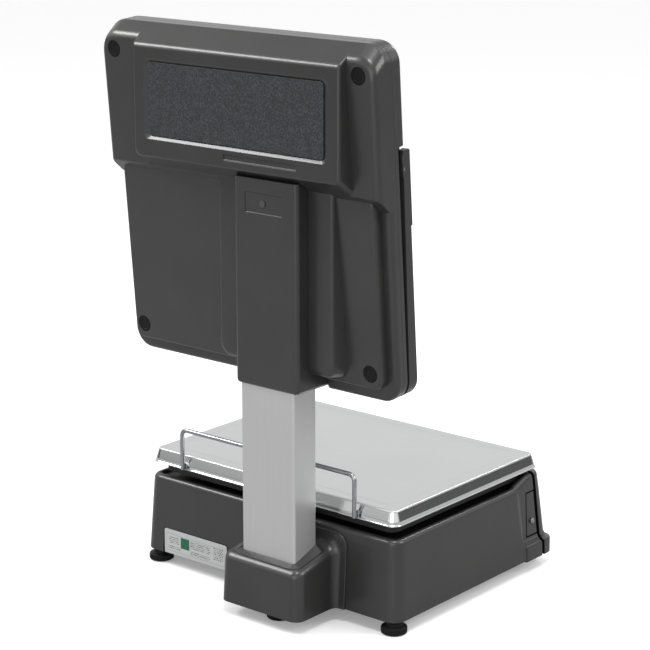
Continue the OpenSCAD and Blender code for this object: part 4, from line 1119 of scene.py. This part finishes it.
def make_keyboard():
    sheet = head_slab("panel", -176, 176, 28, 230, 6, [(-6.6, 0), (-8.4, 0), (-8.7, 0.3)], 6)
    keys = [sheet]
    columns, rows = 10, 6
    pitch_x, pitch_v, middle_v = 34.6, 33, 129
    for i in range(columns):
        for j in range(rows):
            x, v = (i - 4.5) * pitch_x, middle_v + (j - 2.5) * pitch_v
            keys.append(head_slab("key", x - 15, x + 15, v - 14, v + 14, 3,
                                  [(-8.6, 0), (-9.5, 0.1), (-10.0, 0.5), (-10.2, 1.3), (-10.0, 4.5)], 4))
    dress(merge(keys), "keyboard_membrane", "root", key_print_material(), ("keyboard_panel",))


def make_keys():
    for i, x in enumerate(KEY_X):
        cap = head_slab("cap", x - 13, x + 13, KEY_V - 7, KEY_V + 7, 3,
                        [(FRONT_W + 4.3, -2), (FRONT_W + 2.9, -2), (FRONT_W + 2.8, 0), (FRONT_W - 0.9, 0),
                         (FRONT_W - 1.5, 0.4), (FRONT_W - 1.8, 1.4), (FRONT_W - 1.5, 4.2)], 5)
        key = "key_%d" % (i + 1)
        dress(cap, "key_cap_%d" % (i + 1), key + "_body", KEY_GREY, (key,))


add_camera()
add_world([(0.0, 0.1), (0.12, 0.1), (0.18, 0.95), (0.32, 0.95), (0.45, 0.75), (0.7, 0.45), (0.8, 0.5),
           (0.88, 1.3), (1.0, 1.3)])
# name, azimuth from +X, elevation, distance, width, height, brightness
SOFTBOXES = (("edge_light", 36, 37, 2.6, 1.3, 0.55, 11), ("side_strip", 112, 8, 3.0, 2.0, 1.6, 1.2),
             ("right_rim", 200, 30, 2.6, 1.0, 1.0, 5), ("high_front", 262, 39.5, 2.6, 0.5, 0.4, 12),
             ("corner_light", 132, 60, 2.4, 0.6, 0.6, 12))
for name, az, el, far, wide, tall, glow in SOFTBOXES:
    az, el = math.radians(az), math.radians(el)
    at = (far * math.cos(el) * math.cos(az), far * math.cos(el) * math.sin(az),
          LIGHT_AIM_Z + far * math.sin(el))
    add_softbox(name, at, (0, 0, LIGHT_AIM_Z), wide, tall, glow * WATTS_PER_GLOW * wide * tall)
floor = box("floor", (-30000, -30000, -20), (30000, 30000, 0))
floor.data.materials.append(floor_material())

make_rear_housing()
make_badge()
make_neck()
make_base()
make_hatch_screw()
make_pod()
make_platter()
make_feet()
make_rating_plate()
make_front_housing()
make_keyboard_frame()
make_keyboard()
make_keys()
caps = merge(make_caps())
dress(caps, "screw_caps_moulded", "root", BLACK, ("screw_caps",))

by_slot = {
    "housing_plastic": HOUSING, "black_plastic": BLACK, "black_rubber": RUBBER, "stainless": WIRE_METAL,
    "aluminium_satin": COLUMN_METAL, "zinc_steel": ZINC, "black_steel": BLACK_STEEL, "grey_steel": GREY_STEEL,
    "circuit_board": BOARD, "level_fluid": FLUID, "red_rocker": RED, "blue_plastic": BLUE, "paper": PAPER,
    "white_gear": ACETAL, "brass": BRASS, "badge_film": BADGE, "smoked_window": GLASS_DARK,
    "clear_film": CLEAR, "display_glass": DISPLAY, "key_grey": KEY_GREY, "plate_metal": CELL_METAL,
    "motor_black": MOTOR, "anodised_cell": CELL_METAL,
}
for part in frame["record"]["subparts"]:
    obj = nodes[part["node"]]
    obj.data.materials.clear()
    obj.data.materials.append(by_slot[part["material_slot"]])
nodes["platter"].data.materials[0] = PLATTER_METAL
nodes["keyboard_frame"].data.materials[0] = FRAME_GREY
nodes["neck_screw"].data.materials[0] = LOCK
